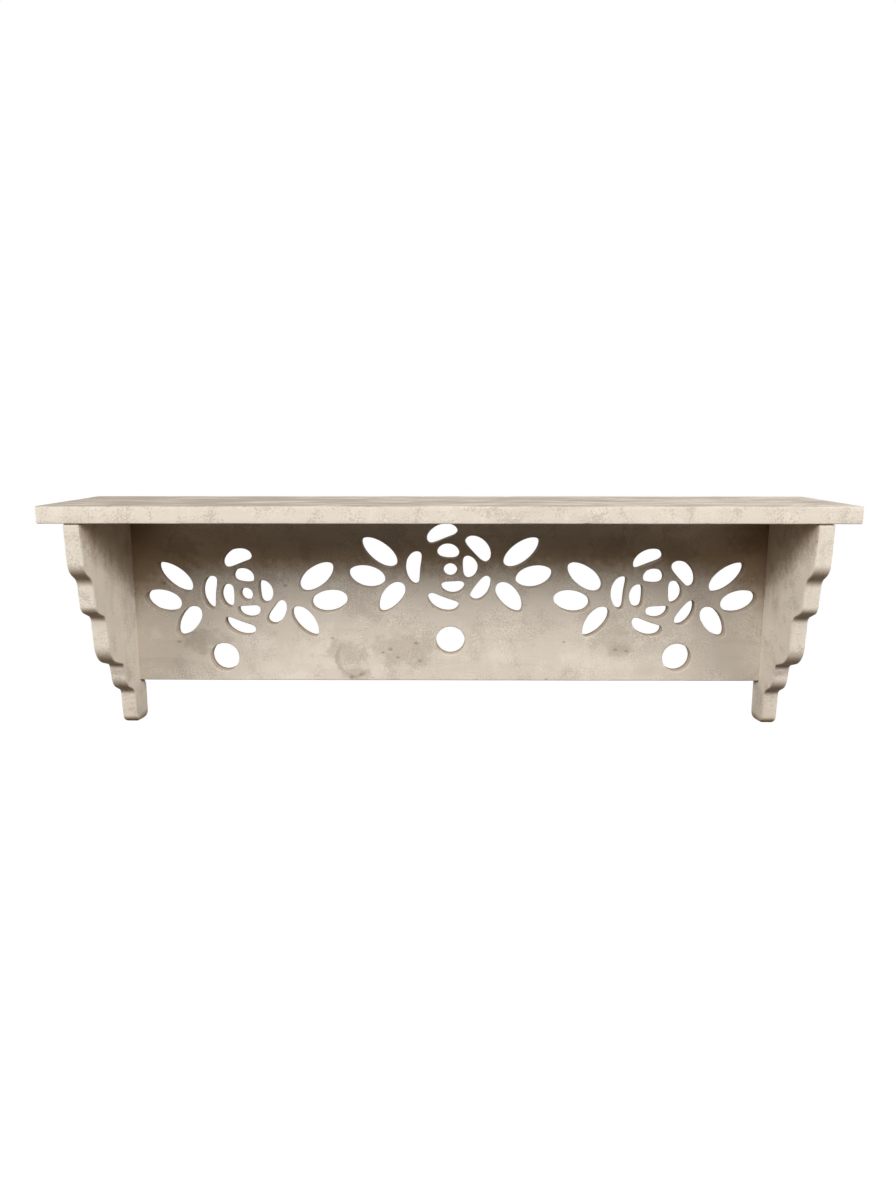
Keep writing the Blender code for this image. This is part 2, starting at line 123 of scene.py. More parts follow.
# A cut is a rounded oval, placed by its middle from the rosette's eye. It runs from its near end to its far
# end along heading, in degrees. An end is round at 0.5 and pointed at 1, and bow bends the cut off the eye.
Cut = namedtuple("Cut", "x z heading length width near far bow")
LEAVES = {
    "upper_leaf": Cut(0.0615, 0.0155, 38, 0.0374, 0.0178, 0.48, 0.56, 0),
    "middle_leaf": Cut(0.0725, -0.0055, 12, 0.0330, 0.0197, 0.52, 0.54, 0.0003),
    "lower_leaf": Cut(0.0515, -0.0245, -52, 0.0330, 0.0170, 0.48, 0.64, 0.0002),
}
PETALS = {
    "left_petal": Cut(-0.0290, 0.0015, 266, 0.0300, 0.0140, 0.36, 0.45, 0.0030),
    "top_petal": Cut(-0.0070, 0.0300, 202, 0.0284, 0.0143, 0.38, 0.40, 0.0025),
    "upper_right_petal": Cut(0.0235, 0.0175, -48, 0.0288, 0.0152, 0.42, 0.46, 0.0022),
    "lower_right_petal": Cut(0.0260, -0.0155, 56, 0.0256, 0.0131, 0.36, 0.48, 0.0014),
    "bottom_petal": Cut(-0.0060, -0.0270, -21, 0.0288, 0.0134, 0.38, 0.34, 0.0026),
    "left_seed": Cut(-0.0147, -0.0012, 270, 0.0214, 0.0132, 0.40, 0.44, 0.0016),
    "top_seed": Cut(-0.0019, 0.0149, 175, 0.0195, 0.0139, 0.42, 0.42, 0.0013),
    "right_seed": Cut(0.0150, 0.0023, -85, 0.0210, 0.0138, 0.46, 0.42, 0.0020),
    "bottom_seed": Cut(0.0020, -0.0132, 3, 0.0208, 0.0121, 0.40, 0.38, 0.0020),
}
LEFT_ROSETTE_LEAVES_OUT = "upper_right_petal"
MIDDLE_ROSETTE_LEAVES_OUT = "left_seed"
RIGHT_ROSETTE_LEAVES_OUT = "eye"

# Fastenings, by the names of their nodes
Screws = namedtuple("Screws", "nodes diameter head pitch")
BRACKET_SCREWS = Screws(
    nodes=[f"{side}_{place}_screw" for side in SIDES for place in ("upper", "lower")],
    diameter=0.004,
    head=0.008,
    pitch=0.0018,
)
HANGER_SCREWS = Screws(
    nodes=[f"{side}_hanger_{place}_screw" for side in SIDES for place in ("upper", "lower")],
    diameter=0.0024,
    head=0.0052,
    pitch=0.0011,
)
DOWELS = [f"{side}_{place}_dowel" for side in SIDES for place in ("front", "rear", "panel")]
THREAD_CORE = 0.72  # core under a thread, as a share of the screw's radius
THREAD_START = 1.4  # where a thread starts, as a share of the head's height
CROSS_LENGTH = 0.60  # cross recess, as shares of the head's diameter
CROSS_WIDTH = 0.14
CROSS_DEPTH = 0.24  # of its cutter, half of which stands out of the head
DRIVEN_SEED = 5  # for how far round each screw is driven
KEYHOLE_ENTRY_DIAMETER = 0.0085
KEYHOLE_SLOT_WIDTH = 0.0042
KEYHOLE_TRAVEL = 0.009  # entry centre to the end of the slot
POCKET_DEPTH = 0.007  # room for a wall screw's head, from the panel's back
POCKET_CLEARANCE = 0.0005

# Fineness of the meshes
ARC_STEPS = 14
CUT_STEPS = 20
ROUND_STEPS = 48
EASE_STEPS = 4
SOFT_STEP = 0.0012  # between points of a cut worn round
SOFT_PASSES = 5
EASE_MARGIN = 1.22  # last ring of an eased edge, as a share of its ease
WALL_STEPS = 4
BOARD_STEP = 0.0016  # between points along a board's edge
BOARD_GRID = 0.006  # between points on a board's face
BRACKET_GRID = 0.0022
PLATE_STEP = 0.0008
PLATE_GRID = 0.002
SCREW_SIDES = 24
SCREW_RINGS = 120
GRID_MARGIN = 0.6  # least share of a grid step between a grid point and an edge
MITRE_LIMIT = 0.5
SHEET_EPSILON = 1e-7
NET_INSIDE = 1  # a net of triangles that keeps to the inside of its fence
SEAM_MERGE = 1e-5
FINE_MERGE = 1e-6
FAR_FROM_EDGE = 0.01
SHARP_EDGE = 40  # degrees
CUTTER_REACH = 0.01  # how far a cutter runs past the face that it opens

# Axes of a flat sheet's own x, y and z in the frame
LYING = Matrix(((1, 0, 0), (0, 1, 0), (0, 0, 1)))
FACING_FRONT = Matrix(((1, 0, 0), (0, 0, -1), (0, 1, 0)))
STANDING_SIDEWAYS = Matrix(((0, 0, -1), (-1, 0, 0), (0, 1, 0)))


def srgb(red, green, blue):
    """A linear colour from sRGB values of 0 to 255."""
    return (*(((c / 255 + 0.055) / 1.055) ** 2.4 for c in (red, green, blue)), 1)


# Colours
LIGHT_CREAM = srgb(243, 232, 217)
PALE_CREAM = srgb(233, 221, 205)
CREAM = srgb(227, 215, 199)
GREIGE = srgb(203, 190, 174)
SMEAR = srgb(184, 171, 155)
DARK_GREIGE = srgb(176, 162, 145)
SPECK_BROWN = srgb(132, 112, 90)
BARE_WOOD = srgb(158, 128, 94)
# Brown painted shade, used wherever the paint is darkened as shade
SHADE_BROWN = (0.50, 0.385, 0.27, 1)  # multiplies the paint under it
# Grey for deeper painted shade on the brackets' inner faces
DEEP_SHADE_GREY = (0.84, 0.84, 0.86, 1)  # multiplies the paint too
BEECH = srgb(206, 172, 128)
BEECH_DARK = srgb(176, 138, 94)
ZINC = srgb(176, 174, 168)
ZINC_DULL = srgb(128, 126, 120)
WHITE = (1, 1, 1, 1)

# Chalky coats: the base colour, how many clouds, and strokes along each axis, go in a metre, a seed for
# both, and how far in from its edges the coat is made pale, by rubbing and as painted highlight
Coat = namedtuple("Coat", "base clouds strokes seed rubbed")
SHELF_COAT = Coat(PALE_CREAM, clouds=60.0, strokes=(9.0, 120.0, 120.0), seed=1.0, rubbed=0.0014)
PANEL_COAT = Coat(CREAM, clouds=36.0, strokes=(14.0, 90.0, 110.0), seed=4.0, rubbed=0.0008)
BRACKET_COAT = Coat(PALE_CREAM, clouds=50.0, strokes=(110.0, 90.0, 16.0), seed=2.0, rubbed=0.0012)
COAT_GRAIN = 700.0  # grains in a metre
COAT_SPECKS = {"Count": 150.0, "Size": 0.16, "Share": 0.10}
GLINT_SHIFT = (3.1, 1.7, 5.3)  # from the clouds' noise to that of the glints
BRISTLES = 5.0  # bristle marks to a stroke
GRAIN_HEIGHT = 0.6  # relief of the grain, as a share of that of the clouds
BRISTLE_HEIGHT = 0.5  # as a share of that of the strokes
CLOUD_HEIGHT = 0.5  # with their grain, as a share of that of the strokes
COAT_GLOSS = 0.2
COAT_RELIEF = {"Strength": 0.35, "Distance": 0.0006}
COAT_HEIGHTS = (0.5, 1.5)  # lowest and highest relief, which have the roughness given next
COAT_ROUGHNESS = (0.72, 0.90)

# How strongly each mark covers the coat under it
CLOUD_SHARE = 0.72
GLINT_SHARE = 0.75
STREAK_SHARE = 0.25
SPECK_SHARE = 0.55
RUBBED_AND_HIGHLIGHT_SHARE = 0.45
BARE_SHARE = 0.7
PALE_SHARE = 0.45
STAIN_SHARE = 0.42
RING_SHARE = 0.55
FLECK_SHARE = 0.5

# Noise levels at which a mark starts and is full
CLOUD_MASK = (1.04, 1.16)
GLINT_MASK = (0.03, 0.18)
STREAK_MASK = (0.52, 0.70)
CHIP_MASK = (0.62, 0.80)
SMEAR_MASK = (0.32, 0.68)

# Borders of the marks: how fine they are, and how far they wander as a share of the mark's own size
NOISE_MEAN = 0.5
WEAR_FINENESS = 210
WEAR_WANDER = 3
SHADE_BORDER_FINENESS = 160
SMUDGE_FINENESS = 2.2  # to a radius
SMUDGE_WANDER = 2.4
SMUDGE_SQUEEZE = (0.6, 1, 1)  # of the distance along each axis, which makes a smudge wide
SMUDGE_CORE = 0.3  # full to this share of the radius
RING_FINENESS = 120
RING_WANDER = 4
RING_GONE = 0.4  # rubbed away past this share of the radius to its upper right
RING_KEPT = -0.6  # and whole short of this one
SPECK_FINENESS = 900
SPECK_WANDER = 0.12
SPECK_CORE = 0.06  # full to this distance, as a share of the space between specks

# Smears on the shelf's top: strokes in a metre along each axis, and how much thicker at its left and right
SMEAR_STROKES = (20.0, 64.0, 130.0)
SMEAR_SEED = 8.0
SMEAR_THICKNESS = (0.11, -0.08)

# Pale spots and dirt on the panel's front, by X, Z and radius
PALE_SPOTS = (
    (-0.116, -0.033, 0.020),
    (-0.159, -0.047, 0.013),
    (-0.063, -0.047, 0.009),
    (0.045, -0.033, 0.014),
    (0.115, -0.037, 0.014),
)
STAINS = (
    (-0.037, -0.029, 0.022),
    (-0.090, -0.030, 0.018),
    (-0.080, -0.051, 0.010),
    (0.150, -0.029, 0.009),
    (-0.215, -0.020, 0.016),
    (-0.231, 0.061, 0.014),
    (0.141, 0.061, 0.016),
    (0.197, 0.057, 0.014),
    (0.256, 0.067, 0.012),
)
RING_STAIN = (-0.0825, -0.036, 0.0158)
RING_WIDTH = 0.0028
FLECKS = (
    (-0.0513, -0.0280, 0.0020),
    (-0.0288, -0.0223, 0.0018),
    (-0.0448, -0.0355, 0.0016),
    (-0.0258, -0.0385, 0.0018),
    (-0.0579, -0.0310, 0.0014),
    (-0.0857, -0.0535, 0.0024),
    (-0.0766, -0.0510, 0.0020),
    (-0.1020, -0.0180, 0.0014),
    (0.1460, -0.0280, 0.0018),
    (0.1560, -0.0292, 0.0015),
    (-0.1420, 0.0287, 0.0015),
    (-0.2470, 0.0310, 0.0020),
    (-0.2370, -0.0213, 0.0016),
    (0.0860, -0.0550, 0.0012),
    (0.1010, -0.0213, 0.0012),
)

# Painted shade in brown on the panel under the shelf. Pairs named PANEL_SHADE hold the value between the
# ends and the value at them.
PANEL_END_FROM = 0.205  # where an end starts, from the panel's middle
PANEL_SHADE_DROP = (0.036, 0.052)  # how far the shade reaches down under the shelf
PANEL_SHADE_FADE = (0.028, 0.045)  # over what height it fades out
PANEL_SHADE_TOP = (0.46, 1.0)  # its share next to the shelf
PANEL_SHADE_LOW = 0.88  # its share further down
SHADE_TURN = (0.010, 0.036)  # below the shelf, where one share turns into the other
# Painted shade in the panel's top corners at its ends
CORNER_SHADE_DROP = 0.06
CORNER_SHADE_SHARE = 0.6
BACK_FREE = (0.0128, 0.0110)  # depths behind the panel's face between which the shade comes in
END_FREE = (0.0005, 0.0015)  # the same from the panel's ends
CUT_BACK_FREE = (0.0126, 0.0121)  # the same for the painted shade on the walls of the cuts
CUT_FRONT_FREE = (0.0008, 0.0025)
CUT_SHADE_DEEP = (0.0080, 0.0100)  # depths between which that painted shade gets darker
CUT_SHADE_FRONT_SHARE = 0.35
PANEL_UNDER_SHADE_MASK = (0.3, 0.8)  # how far down a face looks where its painted shade starts and is full
PANEL_UNDER_SHADE_SHARE = 0.8
PIERCED_MIDDLE = 0.5  # between the rings round a cut, at 1, and the rest of the face, at 0

# Painted shade on the brackets, in brown and grey
INNER_SHADE_DROP = 0.059  # how far the shade on the inner faces reaches down at the wall
INNER_SHADE_SLOPE = 0.56  # how much less it reaches down for each step out from the wall
INNER_SHADE_FADE = 0.030
INNER_SHADE_SHARE = 0.78
INNER_SHADE_WRAP = 0.001  # how far it goes round the edges
DEEP_SHADE_LEVEL = (-0.040, -0.010)  # between which the deeper painted shade comes in, on the way down to the shade's end at 0
# Painted shade under the lobes
LOBE_UNDER_SHADE_MASK = (0.15, 0.80)
LOBE_UNDER_SHADE_SHARE = 0.85
# Painted shade, darker towards the bottom of the feet
FOOT_SHADE_SHARE = 0.30
SOLE_SHADE_RISE = (0.006, 0.001)  # heights over a foot's nominal bottom between which painted shade darkens its sole
SOLE_SHADE_SHARE = 0.95
NOTCH_SHADE_FADE = (0.004, 0.001)  # painted shade in the notch: distances from the panel's lower edge
NOTCH_SHADE_DEPTH = (-0.001, 0.002)  # depths behind the panel's face

# Beech and zinc
BEECH_GRAIN = {"Stretch": (700.0, 700.0, 60.0), "Seed": 3.0}
BEECH_MASK = (0.40, 0.65)
BEECH_HEIGHTS = (0.5, 1.1)
BEECH_ROUGHNESS = (0.55, 0.75)
BEECH_RELIEF = {"Strength": 0.3, "Distance": 0.0002}
ZINC_CLOUDS = {"Patches": 260.0, "Grain": 3000.0, "Seed": 6.0}
ZINC_CLOUD_SHARE = 0.7
ZINC_SCRATCHES = {"Stretch": (1500.0, 900.0, 90.0), "Seed": 2.0}
ZINC_STREAKS = (0.3, 0.7)
ZINC_ROUGHNESS = (0.30, 0.52)
ZINC_RELIEF = {"Strength": 0.2, "Distance": 0.0001}

# Stage: the camera's focal length is in pixels of an image 1200 pixels high
SENSOR = 36.0
IMAGE_HEIGHT = 1200
FOCAL_PIXELS = 861.8
CAMERA_SPOT = (0.0051, -0.7501, 0.1522)
CAMERA_PITCH = 10.46  # degrees down
CAMERA_YAW = 0.447  # degrees to the left
FLOOR_LEVEL = -1.3
FLOOR_SIZE = 14.0
FLOOR_CELLS = 8
FLOOR_GREY = (0.22, 0.22, 0.22, 1)
FLOOR_GLOW_RUN = (1.0, 4.0)  # distances from its middle between which the floor turns white to the camera
FLOOR_GLOW = (0.94, 1.0)  # short of them and past them
AMBIENT = (0.028, 0.024, 0.020, 1)
LAMP_TARGET = (0, -0.06, 0)
LAMP_DISTANCE = 2.2
LAMP_HEIGHT = 0.7

# Lamps by their degrees from the front and up, their width and power: one of each pair on either side
Lamp = namedtuple("Lamp", "name azimuth elevation width power")
LAMP_PAIRS = (
    Lamp("key", azimuth=50, elevation=22, width=1.0, power=19),
    Lamp("upper", azimuth=25, elevation=39, width=1.0, power=10.5),
    Lamp("low", azimuth=75, elevation=10, width=1.0, power=12),
)
BACK_LAMP = Lamp("back_fill", azimuth=180, elevation=30, width=2.0, power=18)

# A Mix node's factor and two colours among its inputs, and its colour among its outputs
MIX_INPUTS = (0, 6, 7)
MIX_OUTPUT = 2


class Field:
    """What a node puts out. Arithmetic on it adds the nodes that work the result out."""

    def __init__(self, socket):
        self.socket = socket
        self.tree = socket.id_data

    def __add__(self, other):
        return maths("ADD", self, other)

    def __sub__(self, other):
        return maths("SUBTRACT", self, other)

    def __rsub__(self, other):
        return maths("SUBTRACT", other, self)

    def __mul__(self, other):
        return maths("MULTIPLY", self, other)

    def __truediv__(self, other):
        return maths("DIVIDE", self, other)

    def __rtruediv__(self, other):
        return maths("DIVIDE", other, self)

    def __pow__(self, power):
        return maths("POWER", self, power)

    def __neg__(self):
        return maths("MULTIPLY", self, -1)

    def __abs__(self):
        return maths("ABSOLUTE", self)

    def __lt__(self, limit):
        return maths("LESS_THAN", self, limit)


def give(socket, value):
    """Links a field to a socket, or sets the socket's own value."""
    if isinstance(value, Field):
        socket.id_data.links.new(value.socket, socket)
    else:
        socket.default_value = value


def add(tree, kind, inputs=None, **settings):
    """A node with its settings, whose inputs take values or other nodes' fields."""
    node = tree.nodes.new(kind)
    for name, value in settings.items():
        setattr(node, name, value)
    for name, value in (inputs or {}).items():
        give(node.inputs[name], value)
    return node


def made(tree, kind, inputs=None, output=0, **settings):
    """One output of a new node, by its number or name."""
    return Field(add(tree, kind, inputs, **settings).outputs[output])


def fields(node):
    """A node's outputs by their names."""
    return {socket.name: Field(socket) for socket in node.outputs}


def maths(operation, *values):
    """A field worked out from fields and plain values, on vectors where the first field is one."""
    first = next(value for value in values if isinstance(value, Field))
    on_vectors = first.socket.type in ("VECTOR", "RGBA")
    node = add(first.tree, "ShaderNodeVectorMath" if on_vectors else "ShaderNodeMath", operation=operation)
    for socket, value in zip(node.inputs, values):
        give(socket, value)
    gives_vector = on_vectors and operation not in ("LENGTH", "DISTANCE")
    return Field(node.outputs["Vector" if gives_vector else "Value"])


def scaled(vector, factor):
    """A vector field times a number or a field of numbers."""
    return made(vector.tree, "ShaderNodeVectorMath", {"Vector": vector, "Scale": factor}, operation="SCALE")


def split(vector):
    """The X, Y and Z of a vector field."""
    return fields(add(vector.tree, "ShaderNodeSeparateXYZ", {"Vector": vector}))


def upward(height):
    """A vector field that points up by a height."""
    return made(height.tree, "ShaderNodeCombineXYZ", {"Z": height})


def faded(field, low, high):
    """A smooth step from 0 at low to 1 at high, which may be the smaller of the two."""
    ends = {"Value": field, "From Min": low, "From Max": high}
    return made(field.tree, "ShaderNodeMapRange", ends, interpolation_type="SMOOTHSTEP")


def ramped(field, low, high, first, last):
    """A straight ramp from first at low to last at high, held past both ends."""
    ends = {"Value": field, "From Min": low, "From Max": high, "To Min": first, "To Max": last}
    return made(field.tree, "ShaderNodeMapRange", ends)


def noise(place, scale, detail=2, roughness=0.5, distortion=0, seed=None, output=0):
    """Soft noise about 0.5, in a pattern of its own where a seed is given."""
    inputs = {"Vector": place, "Scale": scale, "Detail": detail, "Roughness": roughness}
    inputs["Distortion"] = distortion
    if seed is not None:
        inputs["W"] = seed
    dimensions = "3D" if seed is None else "4D"
    return made(place.tree, "ShaderNodeTexNoise", inputs, output, noise_dimensions=dimensions)


def blended(share, first, second, how="MIX"):
    """Two colours mixed by a share."""
    node = add(share.tree, "ShaderNodeMix", data_type="RGBA", blend_type=how)
    for number, value in zip(MIX_INPUTS, (share, first, second)):
        give(node.inputs[number], value)
    return Field(node.outputs[MIX_OUTPUT])


def attribute(tree, name):
    """A value stored on the points of a piece, for its material."""
    return made(tree, "ShaderNodeAttribute", output="Fac", attribute_name=name)


def new_group(kind, name, inputs, outputs):
    """A node group with named sockets, its own inputs as fields, and its own outputs."""
    group = bpy.data.node_groups.new(name, kind)
    for way, sockets in (("INPUT", inputs), ("OUTPUT", outputs)):
        for socket, sort in sockets.items():
            group.interface.new_socket(socket, in_out=way, socket_type="NodeSocket" + sort)
    return group, fields(group.nodes.new("NodeGroupInput")), group.nodes.new("NodeGroupOutput").inputs


def arc(centre, radius, first, last, steps=ARC_STEPS):
    """Points round a centre, from one angle to another in degrees."""
    turns = [radians(first + (last - first) * i / steps) for i in range(steps + 1)]
    return [(centre[0] + radius * cos(turn), centre[1] + radius * sin(turn)) for turn in turns]


def circle(centre, diameter):
    return arc(centre, diameter / 2, 0, 360, ROUND_STEPS)[:-1]


def oblong(centre, length, width):
    """An upright bar with half-round ends."""
    x, z = centre
    rise = (length - width) / 2
    return arc((x, z + rise), width / 2, 0, 180) + arc((x, z - rise), width / 2, 180, 360)


def rounded_box(left, bottom, right, top, radius):
    outline = arc((right - radius, bottom + radius), radius, -90, 0)
    outline += arc((right - radius, top - radius), radius, 0, 90)
    outline += arc((left + radius, top - radius), radius, 90, 180)
    return outline + arc((left + radius, bottom + radius), radius, 180, 270)


def keyhole(centre):
    """A round entry with a slot that runs up from it."""
    x, z = centre
    mouth = degrees(asin(KEYHOLE_SLOT_WIDTH / KEYHOLE_ENTRY_DIAMETER))
    entry_centre = (x, z - KEYHOLE_TRAVEL / 2)
    slot_end = (x, z + KEYHOLE_TRAVEL / 2)
    entry = arc(entry_centre, KEYHOLE_ENTRY_DIAMETER / 2, 90 + mouth, 450 - mouth, ROUND_STEPS)
    return entry + arc(slot_end, KEYHOLE_SLOT_WIDTH / 2, 0, 180)


def spaced(outline, step):
    """Points round the outline at equal distances of about a step."""
    corners = [Vector(point) for point in outline]
    sides = [(first, second) for first, second in zip(corners, corners[1:] + corners[:1])]
    around = sum((second - first).length for first, second in sides)
    stride = around / round(around / step)
    points = []
    walked = 0
    for first, second in sides:
        run = (second - first).length
        while len(points) * stride < walked + run - SEAM_MERGE:
            points.append(first.lerp(second, (len(points) * stride - walked) / run))
        walked += run
    return points


def worn_round(outline):
    """The outline with its pointed ends rounded off."""
    loop = spaced(outline, SOFT_STEP)
    for _ in range(SOFT_PASSES):
        loop = [(before + 2 * here + after) / 4 for before, here, after in threes(loop)]
    return [tuple(point) for point in loop]


def threes(loop):
    """Each point of a loop between the one before it and the one after it."""
    return zip(loop[-1:] + loop[:-1], loop, loop[1:] + loop[:1])


def cut_outline(cut):
    """A cut's outline about the rosette's eye. Its width follows a power of the distance to each end."""
    turn = radians(cut.heading)
    along = (cos(turn), sin(turn))
    away = 1 if -along[1] * cut.x + along[0] * cut.z > 0 else -1
    widest = (cut.near - cut.far) / (cut.near + cut.far)
    full = (1 - widest) ** cut.far * (1 + widest) ** cut.near

    def point(step, side):
        share = -cos(pi * step / CUT_STEPS)
        half_width = cut.width / 2 * max(1 - share, 0) ** cut.far * max(1 + share, 0) ** cut.near / full
        run = share * cut.length / 2
        bow = cut.bow * (1 if side > 0 else INNER_BOW)
        rise = away * (bow * (1 - share**2) + side * half_width)
        return (cut.x + run * along[0] - rise * along[1], cut.z + run * along[1] + rise * along[0])

    outer = [point(step, 1) for step in range(CUT_STEPS + 1)]
    inner = [point(step, -1) for step in range(CUT_STEPS - 1, 0, -1)]
    return worn_round(outer + inner)


def rosette(left_out):
    """The outlines of one rosette about its eye: leaves on both sides, two rings of petals and the eye."""
    cuts = {"eye": circle((0, 0), EYE_DIAMETER)}
    for name, leaf in LEAVES.items():
        cuts["right_" + name] = cut_outline(leaf)
        cuts["left_" + name] = [(-x, z) for x, z in cut_outline(leaf)]
    cuts.update({name: cut_outline(petal) for name, petal in PETALS.items()})
    del cuts[left_out]
    return list(cuts.values())


def stencil():
    """Every outline cut through the panel, in X and Z."""
    rosettes = (
        (-ROSETTE_PITCH, SIDE_ROSETTE_DROP, LEFT_ROSETTE_LEAVES_OUT),
        (0, MIDDLE_ROSETTE_DROP, MIDDLE_ROSETTE_LEAVES_OUT),
        (ROSETTE_PITCH, SIDE_ROSETTE_DROP, RIGHT_ROSETTE_LEAVES_OUT),
    )
    outlines = []
    for across, drop, left_out in rosettes:
        for outline in rosette(left_out):
            outlines.append([(STENCIL_OFFSET + across + x, PANEL_HIGH.z - drop + z) for x, z in outline])
    holes = ((-HOLE_PITCH, SIDE_HOLE_RISE), (0, MIDDLE_HOLE_RISE), (HOLE_PITCH, SIDE_HOLE_RISE))
    for across, rise in holes:
        outlines.append(circle((STENCIL_OFFSET + across, PANEL_LOW.z + rise), HOLE_DIAMETER))
    return outlines


def lobe_front(share, reach):
    """How far a lobe's front stands out from the wall."""
    return FOOT_DEPTH + share * (reach - FOOT_DEPTH)


def scallop(lobe, next_front, reach, height):
    """The front of one lobe from its nose down to the start of the next front, as reach and drop pairs."""
    front = lobe_front(lobe.front, reach) - LOBE_LEAN
    nose_level = -lobe.nose_at * height
    turn = radians(lobe.underside)
    radii = lobe.nose_radius + lobe.cove_radius
    underside = (front - next_front - radii * (1 - cos(turn))) / sin(turn)
    cove_level = nose_level - radii * sin(turn) - underside * cos(turn)
    nose = arc((front - lobe.nose_radius, nose_level), lobe.nose_radius, 0, -lobe.underside)
    cove_centre = (next_front + lobe.cove_radius, cove_level)
    return nose + arc(cove_centre, lobe.cove_radius, 180 - lobe.underside, 180)


def bracket_outline(reach, height, shoulder_radius):
    """A bracket's side, round from the panel's notch: reach from the wall and height over its top."""
    shoulder = PANEL_LOW.z - PANEL_HIGH.z - FIT
    notch = -PANEL_LOW.y + FIT
    front_corner = (reach - TOP_CORNER_RADIUS, -TOP_CORNER_RADIUS)
    outline = [(notch, 0)] + arc(front_corner, TOP_CORNER_RADIUS, 90, 0)
    fronts = [lobe_front(lobe.front, reach) for lobe in LOBES[1:]] + [FOOT_DEPTH]
    for lobe, next_front in zip(LOBES, fronts):
        outline += scallop(lobe, next_front, reach, height)
    toe = (FOOT_DEPTH - LOBE_LEAN - FOOT_FRONT_RADIUS, -height - TOE_DROP + FOOT_FRONT_RADIUS)
    outline += arc(toe, FOOT_FRONT_RADIUS, 0, -90)
    heel = (FOOT_BACK_RADIUS, -height - HEEL_DROP + FOOT_BACK_RADIUS)
    outline += arc(heel, FOOT_BACK_RADIUS, -90, -180)
    outline += arc((shoulder_radius, shoulder - shoulder_radius), shoulder_radius, 180, 90)
    return outline + [(notch, shoulder)]


def evenly(outline, step):
    """The outline as a loop of points no further apart than a step."""
    corners = [Vector(point) for point in outline]
    loop = []
    for first, second in zip(corners, corners[1:] + corners[:1]):
        run = (second - first).length
        if run > SEAM_MERGE:
            pieces = int(run / step) + 1
            loop += [first.lerp(second, i / pieces) for i in range(pieces)]
    return loop


def turned_left(loop):
    """The loop with its inside on the left."""
    area = sum(a.x * b.y - b.x * a.y for a, b in zip(loop, loop[1:] + loop[:1]))
    return loop if area > 0 else loop[::-1]


def left_of(before, here, after):
    """The mitre to the left of a corner, one unit off both of its sides."""
    coming = (here - before).normalized()
    going = (after - here).normalized()
    left = Vector((-coming.y - going.y, coming.x + going.x))
    return left / max(1 + coming.dot(going), MITRE_LIMIT)


def shifted_left(loop, distance):
    """The loop moved to its left by a distance, with its corners mitred."""
    return [here + distance * left_of(before, here, after) for before, here, after in threes(loop)]


def wood_depth(loops):
    """A measure of how far onto the wood a spot lies from the nearest loop, below 0 in a hole or outside."""
    tree = KDTree(sum(len(loop) for loop in loops))
    lefts = []
    for loop in loops:
        for before, here, after in threes(loop):
            tree.insert((*here, 0), len(lefts))
            lefts.append(left_of(before, here, after))
    tree.balance()

    def depth(spot):
        nearest, number, distance = tree.find((*spot, 0))
        return distance if (spot - nearest.xy).dot(lefts[number]) > 0 else -distance

    return depth


def face_grid(outer, depth, step):
    """Points in staggered rows on the wood that keep off its edges."""
    low = Vector((min(point.x for point in outer), min(point.y for point in outer)))
    high = Vector((max(point.x for point in outer), max(point.y for point in outer)))
    row_rise = step * sin(pi / 3)
    spots = []
    for row in range(int((high.y - low.y) / row_rise) + 1):
        for column in range(int((high.x - low.x) / step) + 1):
            spot = Vector((low.x + (column + row % 2 / 2) * step, low.y + row * row_rise))
            if depth(spot) > step * GRID_MARGIN:
                spots.append(spot)
    return spots


def flat_sheet(name, outline, cuts, ease, step, grid):
    """A flat sheet with cuts through it, in rings along its edges that can be rounded by an ease."""
    outer = turned_left(evenly(outline, step))
    loops = [outer] + [turned_left(evenly(cut, step))[::-1] for cut in cuts]
    shares = [1 - cos(pi / 2 * i / EASE_STEPS) for i in range(EASE_STEPS + 1)] + [EASE_MARGIN]
    points = []
    faces = []
    pierced = []
    fence = []
    fence_edges = []
    for number, loop in enumerate(loops):
        rings = []
        for share in shares:
            rings.append(list(range(len(points), len(points) + len(loop))))
            points += shifted_left(loop, share * ease)
        pierced += [float(number > 0)] * (len(loop) * len(shares))
        ahead = list(range(1, len(loop))) + [0]
        for near, far in zip(rings, rings[1:]):
            faces += [(near[i], near[j], far[j], far[i]) for i, j in enumerate(ahead)]
        fence_edges += [(len(fence) + i, len(fence) + j) for i, j in enumerate(ahead)]
        fence += rings[-1]
    inner_loops = [shifted_left(loop, EASE_MARGIN * ease) for loop in loops]
    depth = wood_depth(inner_loops)
    spots = face_grid(inner_loops[0], depth, grid)
    corners = fence + list(range(len(points), len(points) + len(spots)))
    points += spots
    pierced += [0.0] * len(spots)
    net = delaunay_2d_cdt([points[i] for i in corners], fence_edges, [], NET_INSIDE, SHEET_EPSILON)
    triangles, origins = net[2], net[3]
    for triangle in triangles:
        trio = [origins[i][0] for i in triangle]
        if max(trio) < len(fence):
            middle = sum((points[corners[i]] for i in trio), Vector((0, 0))) / 3
            if depth(middle) < 0:
                continue
        faces.append([corners[i] for i in trio])
    mesh = bpy.data.meshes.new(name)
    mesh.from_pydata([(*point, 0) for point in points], [], faces)
    mesh.attributes.new("pierced", "FLOAT", "POINT").data.foreach_set("value", pierced)
    return mesh


def new_shape_tree(name, sizes):
    """A Geometry Nodes tree with named sizes and a material: itself, its inputs and its output."""
    inputs = {"Geometry": "Geometry", **dict.fromkeys(sizes, "Float"), "Material": "Material"}
    tree, given, result = new_group("GeometryNodeTree", name, inputs, {"Geometry": "Geometry"})
    return tree, given, result["Geometry"]


def stored(geometry, name, field):
    """Geometry that keeps a field on its points."""
    inputs = {"Geometry": geometry, "Name": name, "Value": field}
    return made(geometry.tree, "GeometryNodeStoreNamedAttribute", inputs, data_type="FLOAT")


def recalled(tree, name):
    """A field that was kept on the points."""
    return made(tree, "GeometryNodeInputNamedAttribute", {"Name": name}, data_type="FLOAT")


